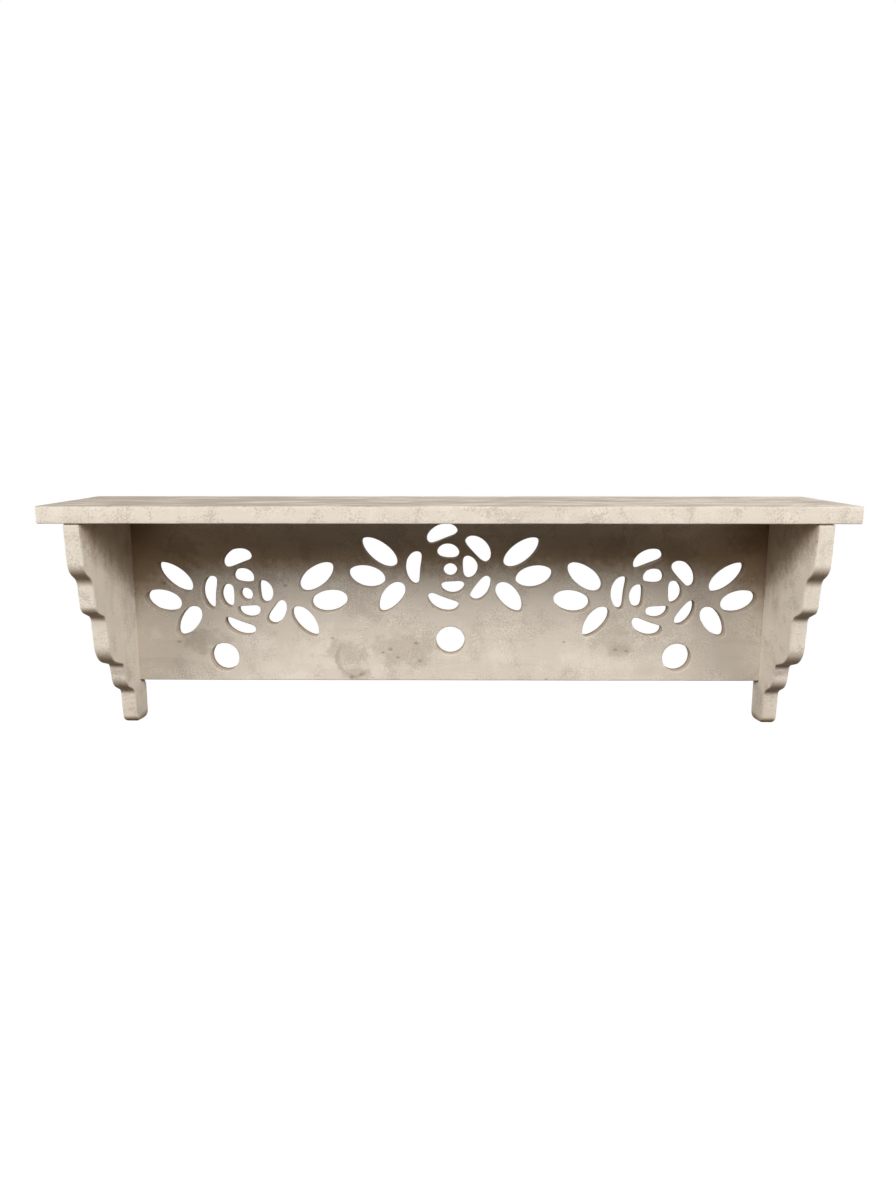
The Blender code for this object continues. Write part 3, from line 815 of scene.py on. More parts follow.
def moved_by(geometry, offset):
    return made(geometry.tree, "GeometryNodeSetPosition", {"Geometry": geometry, "Offset": offset})


def joined(parts, distance):
    """Parts made one mesh, in which points closer than a distance are merged."""
    tree = parts[0].tree
    together = add(tree, "GeometryNodeJoinGeometry")
    for part in parts:
        give(together.inputs[0], part)
    closing = {"Geometry": Field(together.outputs[0]), "Distance": distance}
    return made(tree, "GeometryNodeMergeByDistance", closing)


def end_tree(geometry, material, result):
    """Ends a tree in smooth, plain geometry of one material."""
    tree = geometry.tree
    smooth = made(tree, "GeometryNodeSetShadeSmooth", {"Geometry": geometry})
    plain = made(tree, "GeometryNodeRealizeInstances", {"Geometry": smooth})
    give(result, made(tree, "GeometryNodeSetMaterial", {"Geometry": plain, "Material": material}))


def eased_board_tree():
    """Gives a flat sheet its thickness, rounds its edges, and adds the waves and nicks of hand work."""
    sizes = ("Thickness", "Ease", "Waviness", "Nicks", "Seed")
    tree, given, result = new_shape_tree("eased board", sizes)
    on_rim = made(tree, "GeometryNodeInputMeshEdgeNeighbors", output="Face Count") < 2
    rim_parts = {"Geometry": given["Geometry"], "Selection": on_rim}
    rim = made(tree, "GeometryNodeSeparateGeometry", rim_parts, "Selection", domain="EDGE")
    to_rim = made(tree, "GeometryNodeProximity", {0: rim}, "Distance", target_element="EDGES")
    sheet = stored(given["Geometry"], "edge_distance", to_rim)
    distance = recalled(tree, "edge_distance")

    half = given["Thickness"] / 2
    ease = given["Ease"]
    inset = ease - maths("MINIMUM", distance, ease)
    rise = maths("SQRT", maths("MAXIMUM", ease**2 - inset**2, 0))
    level = half - (ease - rise)
    front = moved_by(sheet, upward(level))
    back = made(tree, "GeometryNodeFlipFaces", {"Mesh": moved_by(sheet, upward(-level))})

    wall = given["Thickness"] - ease * 2
    down = upward(wall / -WALL_STEPS)
    selection = on_rim
    for _ in range(WALL_STEPS):
        inputs = {"Mesh": front, "Selection": selection, "Offset": down, "Offset Scale": 1.0}
        walled = fields(add(tree, "GeometryNodeExtrudeMesh", inputs, mode="EDGES"))
        front, selection = walled["Mesh"], walled["Top"]
    solid = joined((front, back), SEAM_MERGE)

    position = made(tree, "GeometryNodeInputPosition")
    off_face = half - abs(split(position)["Z"])
    solid = stored(solid, "edge_distance", maths("MAXIMUM", distance, off_face))
    nick_noise = noise(position, NICK_FINENESS, detail=3, roughness=0.6, seed=given["Seed"])
    nicked = faded(nick_noise, *NICK_MASK) * faded(distance, NICK_REACH, 0.0)
    solid = stored(solid, "nicked", nicked)
    facing = made(tree, "GeometryNodeInputNormal")
    solid = stored(solid, "underside", -split(facing)["Y"])
    waves = noise(position, WAVE_FINENESS, seed=given["Seed"], output="Color") - (NOISE_MEAN,) * 3
    dents = scaled(facing, -(recalled(tree, "nicked") * given["Nicks"]))
    solid = moved_by(solid, scaled(waves, given["Waviness"]) + dents)
    end_tree(solid, given["Material"], result)
    return tree


def driven_screws_tree():
    """Countersunk screws with a thread and a cross recess, one on each point, their heads to the wall.

    A screw is a grid, one unit wide and high, wound so that its X goes round the screw and its Y down it.
    """
    tree, given, result = new_shape_tree("driven screws", ("Diameter", "Head", "Length", "Pitch"))
    cells = {"Size X": 1.0, "Size Y": 1.0, "Vertices X": SCREW_SIDES + 1, "Vertices Y": SCREW_RINGS + 1}
    grid = made(tree, "GeometryNodeMeshGrid", cells, "Mesh")
    share = split(made(tree, "GeometryNodeInputPosition"))
    turn = share["X"] * (2 * pi)
    height = (share["Y"] - 0.5) * given["Length"]
    radius = given["Diameter"] / 2
    head_radius = given["Head"] / 2
    neck = radius - head_radius
    core = radius * THREAD_CORE
    cone = ramped(height, neck, 0.0, core, head_radius)
    ridge = maths("PINGPONG", height / given["Pitch"] + share["X"], 0.5) * 2
    thread = (radius - core) * ridge**2
    shank = cone + thread * (height < neck * THREAD_START)
    profile = shank * ramped(height, -given["Length"], given["Diameter"] - given["Length"], 0.0, 1.0)
    wound = {"X": profile * maths("COSINE", turn), "Y": profile * maths("SINE", turn), "Z": height}
    places = {"Geometry": grid, "Position": made(tree, "ShaderNodeCombineXYZ", wound)}
    body = made(tree, "GeometryNodeSetPosition", places)
    face = {"Vertices": SCREW_SIDES, "Radius": head_radius}
    top = made(tree, "GeometryNodeMeshCircle", face, fill_type="NGON")
    screw = joined((body, top), FINE_MERGE)

    cross = add(tree, "GeometryNodeMeshBoolean", operation="UNION", solver="MANIFOLD")
    long_side, short_side = given["Head"] * CROSS_LENGTH, given["Head"] * CROSS_WIDTH
    depth = given["Head"] * CROSS_DEPTH
    for across, up in ((long_side, short_side), (short_side, long_side)):
        size = made(tree, "ShaderNodeCombineXYZ", {"X": across, "Y": up, "Z": depth})
        give(cross.inputs["Mesh 2"], made(tree, "GeometryNodeMeshCube", {"Size": size}, "Mesh"))
    parts = {"Mesh 1": screw, "Mesh 2": Field(cross.outputs["Mesh"])}
    screw = made(tree, "GeometryNodeMeshBoolean", parts, "Mesh", operation="DIFFERENCE", solver="MANIFOLD")

    spots = {"Points": given["Geometry"], "Instance": screw, "Rotation": (-pi / 2, 0, 0)}
    screws = made(tree, "GeometryNodeInstanceOnPoints", spots)
    half_turns = made(tree, "FunctionNodeRandomValue", {"Seed": DRIVEN_SEED}, 1, data_type="FLOAT")
    turned = {"Instances": screws, "Rotation": upward(half_turns * pi), "Local Space": True}
    screws = made(tree, "GeometryNodeRotateInstances", turned)
    end_tree(screws, given["Material"], result)
    return tree


def settled(piece):
    """The piece with its modifiers made part of its mesh, and one material all over."""
    depsgraph = bpy.context.evaluated_depsgraph_get()
    shaped = piece.evaluated_get(depsgraph)
    mesh = bpy.data.meshes.new_from_object(shaped, preserve_all_data_layers=True, depsgraph=depsgraph)
    finish = next(material for material in mesh.materials if material)
    mesh.materials.clear()
    mesh.materials.append(finish)
    mesh.polygons.foreach_set("material_index", [0] * len(mesh.polygons))
    piece.modifiers.clear()
    piece.data = mesh
    mesh.name = piece.name
    return piece


def grown(name, mesh, tree, inputs):
    """A piece that a tree makes from a mesh."""
    piece = bpy.data.objects.new(name, mesh)
    bpy.context.scene.collection.objects.link(piece)
    modifier = piece.modifiers.new(tree.name, "NODES")
    modifier.node_group = tree
    for item in tree.interface.items_tree:
        if item.in_out == "INPUT" and item.name in inputs:
            modifier[item.identifier] = inputs[item.name]
    return settled(piece)


def cut_from(piece, cutters):
    """Takes closed cutters out of a piece."""
    bench = bpy.data.collections.new(piece.name + "_cutters")
    bpy.context.scene.collection.children.link(bench)
    for mesh in cutters:
        far_away = mesh.attributes.new("edge_distance", "FLOAT", "POINT").data
        far_away.foreach_set("value", [FAR_FROM_EDGE] * len(mesh.vertices))
        bench.objects.link(bpy.data.objects.new(mesh.name, mesh))
    cuts = piece.modifiers.new("cuts", "BOOLEAN")
    cuts.operation = "DIFFERENCE"
    cuts.operand_type = "COLLECTION"
    cuts.collection = bench
    cuts.solver = "MANIFOLD"
    settled(piece)
    for cutter in list(bench.objects):
        bpy.data.objects.remove(cutter)
    bpy.data.collections.remove(bench)
    piece.data.shade_smooth()
    piece.data.set_sharp_from_angle(angle=radians(SHARP_EDGE))


def closed_mesh(name, shape):
    """A mesh from a shape that is done with, its faces pointing out."""
    bmesh.ops.recalc_face_normals(shape, faces=shape.faces)
    mesh = bpy.data.meshes.new(name)
    shape.to_mesh(mesh)
    shape.free()
    return mesh


def prism(name, outline, front, back):
    """A cutter with an outline in X and Z, between two places in Y."""
    shape = bmesh.new()
    face = shape.faces.new([shape.verts.new((x, front, z)) for x, z in outline])
    walls = bmesh.ops.extrude_face_region(shape, geom=[face])["geom"]
    moved = [part for part in walls if isinstance(part, bmesh.types.BMVert)]
    bmesh.ops.translate(shape, verts=moved, vec=(0, back - front, 0))
    return closed_mesh(name, shape)


def turned_hole(name, profile, spot, axis):
    """A cutter turned about an axis through a spot, from radius and height pairs that end on the axis."""
    shape = bmesh.new()
    points = [shape.verts.new((radius, 0, height)) for radius, height in profile]
    edges = [shape.edges.new(pair) for pair in zip(points, points[1:])]
    about_z = {"axis": (0, 0, 1), "cent": (0, 0, 0), "angle": 2 * pi}
    bmesh.ops.spin(shape, geom=points + edges, steps=ROUND_STEPS, use_merge=True, **about_z)
    bmesh.ops.remove_doubles(shape, verts=shape.verts, dist=SEAM_MERGE)
    turn = Vector((0, 0, 1)).rotation_difference(Vector(axis)).to_matrix().to_4x4()
    bmesh.ops.transform(shape, verts=shape.verts, matrix=Matrix.Translation(spot) @ turn)
    return closed_mesh(name, shape)


def screw_seat(node):
    """The middle of a screw's head on the wall side, and the screw's length."""
    low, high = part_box(node)
    return ((low.x + high.x) / 2, high.y, (low.z + high.z) / 2), high.y - low.y


def screw_holes(screws, side=""):
    """The holes that countersunk screws sit in, open to the wall: all of them, or those on one side."""
    radius = screws.diameter / 2 + FIT
    head_radius = screws.head / 2 + FIT
    neck = -(screws.head - screws.diameter) / 2
    holes = []
    for node in screws.nodes:
        if node.startswith(side):
            spot, length = screw_seat(node)
            profile = [(0, CUTTER_REACH), (head_radius, CUTTER_REACH), (head_radius, 0), (radius, neck)]
            profile += [(radius, -length), (0, -length - FIT)]
            holes.append(turned_hole(node + "_hole", profile, spot, (0, 1, 0)))
    return holes


def dowel_hole(node):
    """The blind hole that a dowel sits in, in both of the boards that it joins."""
    low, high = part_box(node)
    radius = (high.x - low.x) / 2 + FIT
    half = (high.z - low.z) / 2 + FIT
    profile = [(0, half), (radius, half), (radius, -half), (0, -half)]
    return turned_hole(node + "_hole", profile, (low + high) / 2, (0, 0, 1))


def mounted(piece, nodes):
    """Puts a finished piece in the place of its nodes."""
    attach(piece, "root")
    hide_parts(*nodes)


def new_effect(name, inputs, outputs):
    """A shader group that works on a place, with further inputs of the given kinds."""
    inputs = {"Place": "Vector", **inputs}
    return new_group("ShaderNodeTree", name, inputs, dict.fromkeys(outputs, "Float"))


def from_seed(place, seed):
    """Coordinates moved off by a seed, so that each material has its own pattern."""
    return place + made(place.tree, "ShaderNodeCombineXYZ", {"X": seed, "Z": seed})


def chalk_mottle_group():
    """Clouds and stipple of a chalky coat: darker and lighter patches with grainy borders."""
    inputs = {"Patches": "Float", "Grain": "Float", "Seed": "Float"}
    group, given, result = new_effect("chalk mottle", inputs, ("Dark", "Light", "Height"))
    place = from_seed(given["Place"], given["Seed"])
    clouds = noise(place, given["Patches"], detail=4, roughness=0.6, distortion=0.4)
    glints = noise(place + GLINT_SHIFT, given["Patches"], detail=4, roughness=0.6, distortion=0.3)
    grain = noise(place, given["Grain"], detail=3, roughness=0.75)
    give(result["Dark"], faded(clouds + grain, *CLOUD_MASK))
    give(result["Light"], faded(glints - grain, *GLINT_MASK))
    give(result["Height"], grain * GRAIN_HEIGHT + clouds)
    return group


def brush_strokes_group():
    """Long streaks left by a brush: Stretch gives how many fit in a metre along each axis."""
    inputs = {"Stretch": "Vector", "Seed": "Float"}
    group, given, result = new_effect("brush strokes", inputs, ("Streak", "Height"))
    place = from_seed(given["Place"], given["Seed"]) * given["Stretch"]
    streak = noise(place, 1.0, detail=4, roughness=0.6, distortion=0.2)
    bristles = noise(place, BRISTLES, detail=3, roughness=0.65)
    give(result["Streak"], streak)
    give(result["Height"], bristles * BRISTLE_HEIGHT + streak)
    return group


def edge_wear_and_highlight_group():
    """Where an edge is made pale within a reach of it, partly as rubbed wear and partly as painted
    highlight, and where a nick shows the wood.
    """
    group, given, result = new_effect("edge wear", {"Reach": "Float"}, ("Rubbed", "Bare"))
    broken = noise(given["Place"], WEAR_FINENESS, detail=4, roughness=0.65) - NOISE_MEAN
    level = attribute(group, "edge_distance") + broken * given["Reach"] * WEAR_WANDER
    # Paler edges: partly rubbed wear, partly painted highlight
    give(result["Rubbed"], faded(level, given["Reach"], 0.0))
    give(result["Bare"], faded(attribute(group, "nicked") + broken, *CHIP_MASK))
    return group


def broken_shade_group():
    """Painted shade that is full where a level is small, with a broken border."""
    group, given, result = new_effect("broken_shade", {"Level": "Float", "Reach": "Float"}, ("Mask",))
    broken = noise(given["Place"], SHADE_BORDER_FINENESS, detail=5, roughness=0.7) - NOISE_MEAN
    give(result["Mask"], faded(given["Level"] + broken * given["Reach"], given["Reach"], 0.0))
    return group


def smudge_group():
    """A dirty spot about a centre, wider than it is high, with a ragged border."""
    group, given, result = new_effect("smudge", {"Centre": "Vector", "Radius": "Float"}, ("Mask",))
    radius = given["Radius"]
    offset = (given["Place"] - given["Centre"]) * SMUDGE_SQUEEZE
    ragged = noise(given["Place"], SMUDGE_FINENESS / radius, detail=6, roughness=0.7) - NOISE_MEAN
    distance = maths("LENGTH", offset) + ragged * (radius * SMUDGE_WANDER)
    give(result["Mask"], faded(distance, radius, radius * SMUDGE_CORE))
    return group


def ring_stain_group():
    """The mark of a wet rim about a centre, rubbed away on its upper right."""
    inputs = {"Centre": "Vector", "Radius": "Float", "Width": "Float"}
    group, given, result = new_effect("ring stain", inputs, ("Mask",))
    radius = given["Radius"]
    offset = given["Place"] - given["Centre"]
    ragged = noise(given["Place"], RING_FINENESS, detail=6, roughness=0.7) - NOISE_MEAN
    distance = maths("LENGTH", offset) + ragged * (given["Width"] * RING_WANDER)
    rim = faded(abs(distance - radius), given["Width"], 0.0)
    parts = split(offset)
    kept = faded(parts["X"] + parts["Z"], radius * RING_GONE, radius * RING_KEPT)
    give(result["Mask"], rim * kept)
    return group


def specks_group():
    """Small dark specks, so many in a metre, of which a share shows."""
    inputs = {"Count": "Float", "Size": "Float", "Share": "Float"}
    group, given, result = new_effect("specks", inputs, ("Mask",))
    spread = {"Vector": given["Place"], "Scale": given["Count"]}
    cells = fields(add(group, "ShaderNodeTexVoronoi", spread))
    distance = cells["Distance"] + noise(given["Place"], SPECK_FINENESS) * SPECK_WANDER
    shown = made(group, "ShaderNodeSeparateColor", {"Color": cells["Color"]}) < given["Share"]
    give(result["Mask"], shown * faded(distance, given["Size"], SPECK_CORE))
    return group


EFFECTS = {
    "mottle": chalk_mottle_group(),
    "strokes": brush_strokes_group(),
    "wear": edge_wear_and_highlight_group(),
    "broken_shade": broken_shade_group(),
    "smudge": smudge_group(),
    "ring": ring_stain_group(),
    "specks": specks_group(),
}


def applied(effect, place, **inputs):
    """An effect placed in a material with its own values: what it puts out."""
    inputs["Place"] = place
    return fields(add(place.tree, "ShaderNodeGroup", inputs, node_tree=EFFECTS[effect]))


def new_material(name):
    """A material, its object coordinates and its Principled shader."""
    material = bpy.data.materials.new(name)
    material.use_nodes = True
    place = made(material.node_tree, "ShaderNodeTexCoord", output="Object")
    return material, place, material.node_tree.nodes["Principled BSDF"]


def surfaced(shader, colour, roughness, height, relief):
    """Gives a shader its colour, its roughness and the relief of a height."""
    bump = made(height.tree, "ShaderNodeBump", {**relief, "Height": height})
    for name, value in (("Base Color", colour), ("Roughness", roughness), ("Normal", bump)):
        give(shader.inputs[name], value)


def chalk_coat(place, coat):
    """A brushed and mottled coat: its colour and its height over the surface."""
    mottle = applied("mottle", place, Patches=coat.clouds, Grain=COAT_GRAIN, Seed=coat.seed)
    strokes = applied("strokes", place, Stretch=coat.strokes, Seed=coat.seed)
    specks = applied("specks", place, **COAT_SPECKS)
    colour = blended(mottle["Dark"] * CLOUD_SHARE, coat.base, GREIGE)
    colour = blended(mottle["Light"] * GLINT_SHARE, colour, LIGHT_CREAM)
    colour = blended(faded(strokes["Streak"], *STREAK_MASK) * STREAK_SHARE, colour, GREIGE)
    colour = blended(specks["Mask"] * SPECK_SHARE, colour, SPECK_BROWN)
    return colour, strokes["Height"] + mottle["Height"] * CLOUD_HEIGHT


def worn(place, colour, reach, rubbed_and_highlight_share=RUBBED_AND_HIGHLIGHT_SHARE):
    """A coat made pale along the edges, partly by rubbing and partly as painted highlight, and chipped to
    the wood at its nicks.
    """
    wear = applied("wear", place, Reach=reach)
    # Paler edges: partly rubbed wear, partly painted highlight
    colour = blended(wear["Rubbed"] * rubbed_and_highlight_share, colour, LIGHT_CREAM)
    return blended(wear["Bare"] * BARE_SHARE, colour, BARE_WOOD)


def painted_shade(colour, share):
    """A coat darkened by a share of brown, as painted shade."""
    return blended(share, colour, SHADE_BROWN, how="MULTIPLY")


def spotted(place, colour, spots, share, dirt):
    """A coat with smudges of another colour on the panel's front."""
    for x, z, radius in spots:
        mask = applied("smudge", place, Centre=(x, PANEL_LOW.y, z), Radius=radius)["Mask"]
        colour = blended(mask * share, colour, dirt)
    return colour


def coated(shader, colour, height):
    """Gives a shader a matt coat with its colour and relief."""
    shader.inputs["Specular IOR Level"].default_value = COAT_GLOSS
    roughness = ramped(height, *COAT_HEIGHTS, *COAT_ROUGHNESS)
    surfaced(shader, colour, roughness, height, COAT_RELIEF)


def shelf_paint():
    """Cream paint with smears brushed along the top."""
    material, place, shader = new_material("shelf_paint")
    colour, height = chalk_coat(place, SHELF_COAT)
    spot = split(place)
    ease = SHELF_EDGES.ease
    on_top = faded(spot["Z"], SHELF_HIGH.z - ease, SHELF_HIGH.z - ease / 3)
    smears = applied("strokes", place, Stretch=SMEAR_STROKES, Seed=SMEAR_SEED)["Streak"]
    thickness = ramped(spot["X"], SHELF_LOW.x, SHELF_HIGH.x, *SMEAR_THICKNESS)
    colour = blended(on_top * faded(smears + thickness, *SMEAR_MASK), colour, SMEAR)
    colour = worn(place, colour, SHELF_COAT.rubbed)
    coated(shader, colour, height)
    return material


def panel_paint():
    """Cream paint with dirty spots, and painted shade in brown on the walls of the cuts and under the shelf.
    """
    material, place, shader = new_material("panel_paint")
    colour, height = chalk_coat(place, PANEL_COAT)
    pierced = attribute(place.tree, "pierced")
    # The pale edges, partly painted highlight, are left off the rims of the cuts
    rubbed_and_highlight_share = ramped(pierced, 0.0, PIERCED_MIDDLE, RUBBED_AND_HIGHLIGHT_SHARE, 0.0)
    colour = worn(place, colour, PANEL_COAT.rubbed, rubbed_and_highlight_share)
    colour = spotted(place, colour, PALE_SPOTS, PALE_SHARE, LIGHT_CREAM)
    colour = spotted(place, colour, STAINS, STAIN_SHARE, DARK_GREIGE)
    x, z, radius = RING_STAIN
    ring = applied("ring", place, Centre=(x, PANEL_LOW.y, z), Radius=radius, Width=RING_WIDTH)
    colour = blended(ring["Mask"] * RING_SHARE, colour, DARK_GREIGE)
    colour = spotted(place, colour, FLECKS, FLECK_SHARE, SPECK_BROWN)

    spot = split(place)
    off_middle = abs(spot["X"])
    depth = spot["Y"] - PANEL_LOW.y
    below_shelf = PANEL_HIGH.z - spot["Z"]
    near_end = faded(off_middle, PANEL_END_FROM, PANEL_HIGH.x)

    def by_end(pair):
        return ramped(near_end, 0.0, 1.0, *pair)

    # Painted shade under the shelf, deeper towards the ends
    level = below_shelf - by_end(PANEL_SHADE_DROP)
    shade = applied("broken_shade", place, Level=level, Reach=by_end(PANEL_SHADE_FADE))["Mask"]
    shade = shade * ramped(below_shelf, *SHADE_TURN, by_end(PANEL_SHADE_TOP), PANEL_SHADE_LOW)
    ends = [PANEL_HIGH.x - distance for distance in END_FREE]
    in_front = faded(depth, *BACK_FREE) * faded(off_middle, *ends)
    colour = painted_shade(colour, shade * in_front)
    # Painted shade in the top corners at the panel's ends
    corner_shade = near_end * faded(below_shelf, CORNER_SHADE_DROP, 0.0) * in_front
    colour = painted_shade(colour, corner_shade * CORNER_SHADE_SHARE)

    # Painted shade on the walls of the cuts, darker deeper in
    in_cut = pierced * faded(depth, *CUT_BACK_FREE)
    wall = ramped(depth, *CUT_SHADE_DEEP, CUT_SHADE_FRONT_SHARE, 1.0) * faded(depth, *CUT_FRONT_FREE)
    colour = painted_shade(colour, in_cut * wall)
    # Painted shade on faces that look down
    facing_down_shade = faded(attribute(place.tree, "underside"), *PANEL_UNDER_SHADE_MASK)
    colour = painted_shade(colour, facing_down_shade * PANEL_UNDER_SHADE_SHARE)
    coated(shader, colour, height)
    return material


def bracket_paint():
    """Cream paint brushed down the brackets, with painted shade in brown under the lobes and in the inner
    corners.
    """
    material, place, shader = new_material("bracket_paint")
    colour, height = chalk_coat(place, BRACKET_COAT)
    colour = worn(place, colour, BRACKET_COAT.rubbed)
    spot = split(place)
    # Painted shade on the inner faces under the shelf, reaching lower near the wall
    level = PANEL_HIGH.z - INNER_SHADE_DROP - spot["Z"] + spot["Y"] * -INNER_SHADE_SLOPE
    shade = applied("broken_shade", place, Level=level, Reach=INNER_SHADE_FADE)["Mask"]
    inner_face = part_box("right_bracket")[0].x
    shade = shade * (abs(spot["X"]) < inner_face + INNER_SHADE_WRAP)
    colour = painted_shade(colour, shade * INNER_SHADE_SHARE)
    # Deeper painted shade in grey towards the lower end of the inner faces' shade
    colour = blended(shade * ramped(level, *DEEP_SHADE_LEVEL, 0.0, 1.0), colour, DEEP_SHADE_GREY, how="MULTIPLY")
    # Painted shade on faces under the lobes
    lobe_underside_shade = faded(attribute(place.tree, "underside"), *LOBE_UNDER_SHADE_MASK)
    colour = painted_shade(colour, lobe_underside_shade * LOBE_UNDER_SHADE_SHARE)

    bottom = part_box("left_bracket")[0].z
    # Painted shade, darker towards the bottom of the feet
    colour = painted_shade(colour, ramped(spot["Z"], PANEL_LOW.z, bottom, 0.0, FOOT_SHADE_SHARE))
    # Painted shade on the soles of the feet
    sole_shade = [bottom + rise for rise in SOLE_SHADE_RISE]
    colour = painted_shade(colour, ramped(spot["Z"], *sole_shade, 0.0, SOLE_SHADE_SHARE))
    # Painted shade in the notch along the panel's lower edge
    notch_shade = faded(abs(spot["Z"] - PANEL_LOW.z), *NOTCH_SHADE_FADE)
    behind = [PANEL_LOW.y + depth for depth in NOTCH_SHADE_DEPTH]
    colour = painted_shade(colour, notch_shade * faded(spot["Y"], *behind))
    coated(shader, colour, height)
    return material


def beech():
    """Bare beech with its grain up the dowel."""
    material, place, shader = new_material("dowel_beech")
    grain = applied("strokes", place, **BEECH_GRAIN)
    colour = blended(faded(grain["Streak"], *BEECH_MASK), BEECH, BEECH_DARK)
    roughness = ramped(grain["Height"], *BEECH_HEIGHTS, *BEECH_ROUGHNESS)
    surfaced(shader, colour, roughness, grain["Height"], BEECH_RELIEF)
    return material


def zinc():
    """Dull zinc plate with cloudy patches and fine scratches."""
    material, place, shader = new_material("dull_zinc")
    clouds = applied("mottle", place, **ZINC_CLOUDS)["Dark"]
    scratches = applied("strokes", place, **ZINC_SCRATCHES)
    colour = blended(clouds * ZINC_CLOUD_SHARE, ZINC, ZINC_DULL)
    shader.inputs["Metallic"].default_value = 1.0
    roughness = ramped(scratches["Streak"], *ZINC_STREAKS, *ZINC_ROUGHNESS)
    surfaced(shader, colour, roughness, scratches["Height"], ZINC_RELIEF)
    return material


def board(name, sheet, axes, middle, thickness, edges, finish):
    """A board grown from its sheet and put in its place, middle being the middle of its thickness."""
    sizes = {"Thickness": thickness, "Ease": edges.ease, "Waviness": edges.waviness, "Nicks": edges.nicks}
    piece = grown(name, sheet, BOARD_TREE, {**sizes, "Seed": edges.seed, "Material": finish})
    piece.data.transform(Matrix.Translation(middle) @ axes.to_4x4())
    return piece


def make_shelf(paint):
    """The shelf board, with blind holes for the dowels in its underside."""
    outline = rounded_box(SHELF_LOW.x, SHELF_LOW.y, SHELF_HIGH.x, SHELF_HIGH.y, CORNER_RADIUS)
    sheet = flat_sheet("shelf_sheet", outline, [], SHELF_EDGES.ease, BOARD_STEP, BOARD_GRID)
    thickness = SHELF_HIGH.z - SHELF_LOW.z
    middle = (0, 0, SHELF_LOW.z + thickness / 2)
    shelf = board("painted_shelf", sheet, LYING, middle, thickness, SHELF_EDGES, paint)
    cut_from(shelf, [dowel_hole(node) for node in DOWELS])
    mounted(shelf, ["shelf_board"])


def hanger_spot(side):
    """The middle of a hanger in X and Z, and its length, width and thickness."""
    low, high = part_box(f"{side}_keyhole_hanger")
    middle = ((low.x + high.x) / 2, (low.z + high.z) / 2)
    return middle, high.z - low.z, high.x - low.x, high.y - low.y


def make_panel(paint):
    """The pierced panel, with the seats of its screws, dowels and hangers."""
    outline = rounded_box(PANEL_LOW.x, PANEL_LOW.z, PANEL_HIGH.x, PANEL_HIGH.z, CORNER_RADIUS)
    sheet = flat_sheet("panel_sheet", outline, stencil(), PANEL_EDGES.ease, BOARD_STEP, BOARD_GRID)
    thickness = PANEL_HIGH.y - PANEL_LOW.y
    middle = (0, PANEL_LOW.y + thickness / 2, 0)
    panel = board("pierced_panel", sheet, FACING_FRONT, middle, thickness, PANEL_EDGES, paint)
    cutters = [dowel_hole(f"{side}_panel_dowel") for side in SIDES]
    cutters += screw_holes(BRACKET_SCREWS) + screw_holes(HANGER_SCREWS)
    head_width = KEYHOLE_ENTRY_DIAMETER + 2 * POCKET_CLEARANCE
    for side in SIDES:
        spot, length, width, depth = hanger_spot(side)
        seat = oblong(spot, length + 2 * FIT, width + 2 * FIT)
        head_room = oblong(spot, KEYHOLE_TRAVEL + head_width, head_width)
        cutters.append(prism(f"{side}_hanger_seat", seat, -depth - FIT, CUTTER_REACH))
        cutters.append(prism(f"{side}_hanger_pocket", head_room, -POCKET_DEPTH, CUTTER_REACH))
    cut_from(panel, cutters)
    mounted(panel, ["back_panel"])


def round_foot(mesh, middle):
    """Rounds both bottom edges of a bracket's foot, about the middle of its thickness."""
    heel = min(vertex.co.z for vertex in mesh.vertices)
    half = max(abs(vertex.co.x - middle) for vertex in mesh.vertices)
    for vertex in mesh.vertices:
        bottom = heel - (HEEL_DROP - TOE_DROP) * vertex.co.y / FOOT_DEPTH
        short = min(bottom + FOOT_SIDE_RADIUS - vertex.co.z, FOOT_SIDE_RADIUS)
        if short > 0:
            narrowing = FOOT_SIDE_RADIUS - (FOOT_SIDE_RADIUS**2 - short**2) ** 0.5
            vertex.co.x = middle + (vertex.co.x - middle) * (1 - narrowing / half)


def make_bracket(side, paint):
    """A scalloped bracket, with the holes of its dowels and screws."""
    low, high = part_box(f"{side}_bracket")
    outline = bracket_outline(-low.y, high.z - low.z, SHOULDER_RADIUS[side])
    edges = BRACKET_EDGES[side]
    sheet = flat_sheet(f"{side}_bracket_sheet", outline, [], edges.ease, BOARD_STEP, BRACKET_GRID)
    thickness = high.x - low.x
    middle = (low.x + thickness / 2, 0, high.z)
    name = f"{side}_scalloped_bracket"
    bracket = board(name, sheet, STANDING_SIDEWAYS, middle, thickness, edges, paint)
    round_foot(bracket.data, middle[0])
    cutters = [dowel_hole(f"{side}_{which}_dowel") for which in ("front", "rear")]
    cut_from(bracket, cutters + screw_holes(BRACKET_SCREWS, side))
    mounted(bracket, [f"{side}_bracket"])


def make_hanger(side, steel):
    """A keyhole hanger: a small plate with its screw holes."""
    spot, length, width, thickness = hanger_spot(side)
    outline, cuts = oblong(spot, length, width), [keyhole(spot)]
    sheet = flat_sheet(f"{side}_plate_sheet", outline, cuts, PLATE_EDGES.ease, PLATE_STEP, PLATE_GRID)
    middle = (0, -thickness / 2, 0)
    plate = board(f"{side}_hanger_plate", sheet, FACING_FRONT, middle, thickness, PLATE_EDGES, steel)
    cut_from(plate, screw_holes(HANGER_SCREWS, side))
    mounted(plate, [f"{side}_keyhole_hanger"])


def make_screws(name, screws, steel):
    """Screws driven from the wall side, one in each node's place."""
    seats = [screw_seat(node) for node in screws.nodes]
    spots = bpy.data.meshes.new(name + "_spots")
    spots.from_pydata([spot for spot, length in seats], [], [])
    length = seats[0][1]
    sizes = {"Diameter": screws.diameter, "Head": screws.head, "Length": length, "Pitch": screws.pitch}
    piece = grown(name, spots, SCREW_TREE, {**sizes, "Material": steel})
    piece.data.set_sharp_from_angle(angle=radians(SHARP_EDGE))
    mounted(piece, screws.nodes)


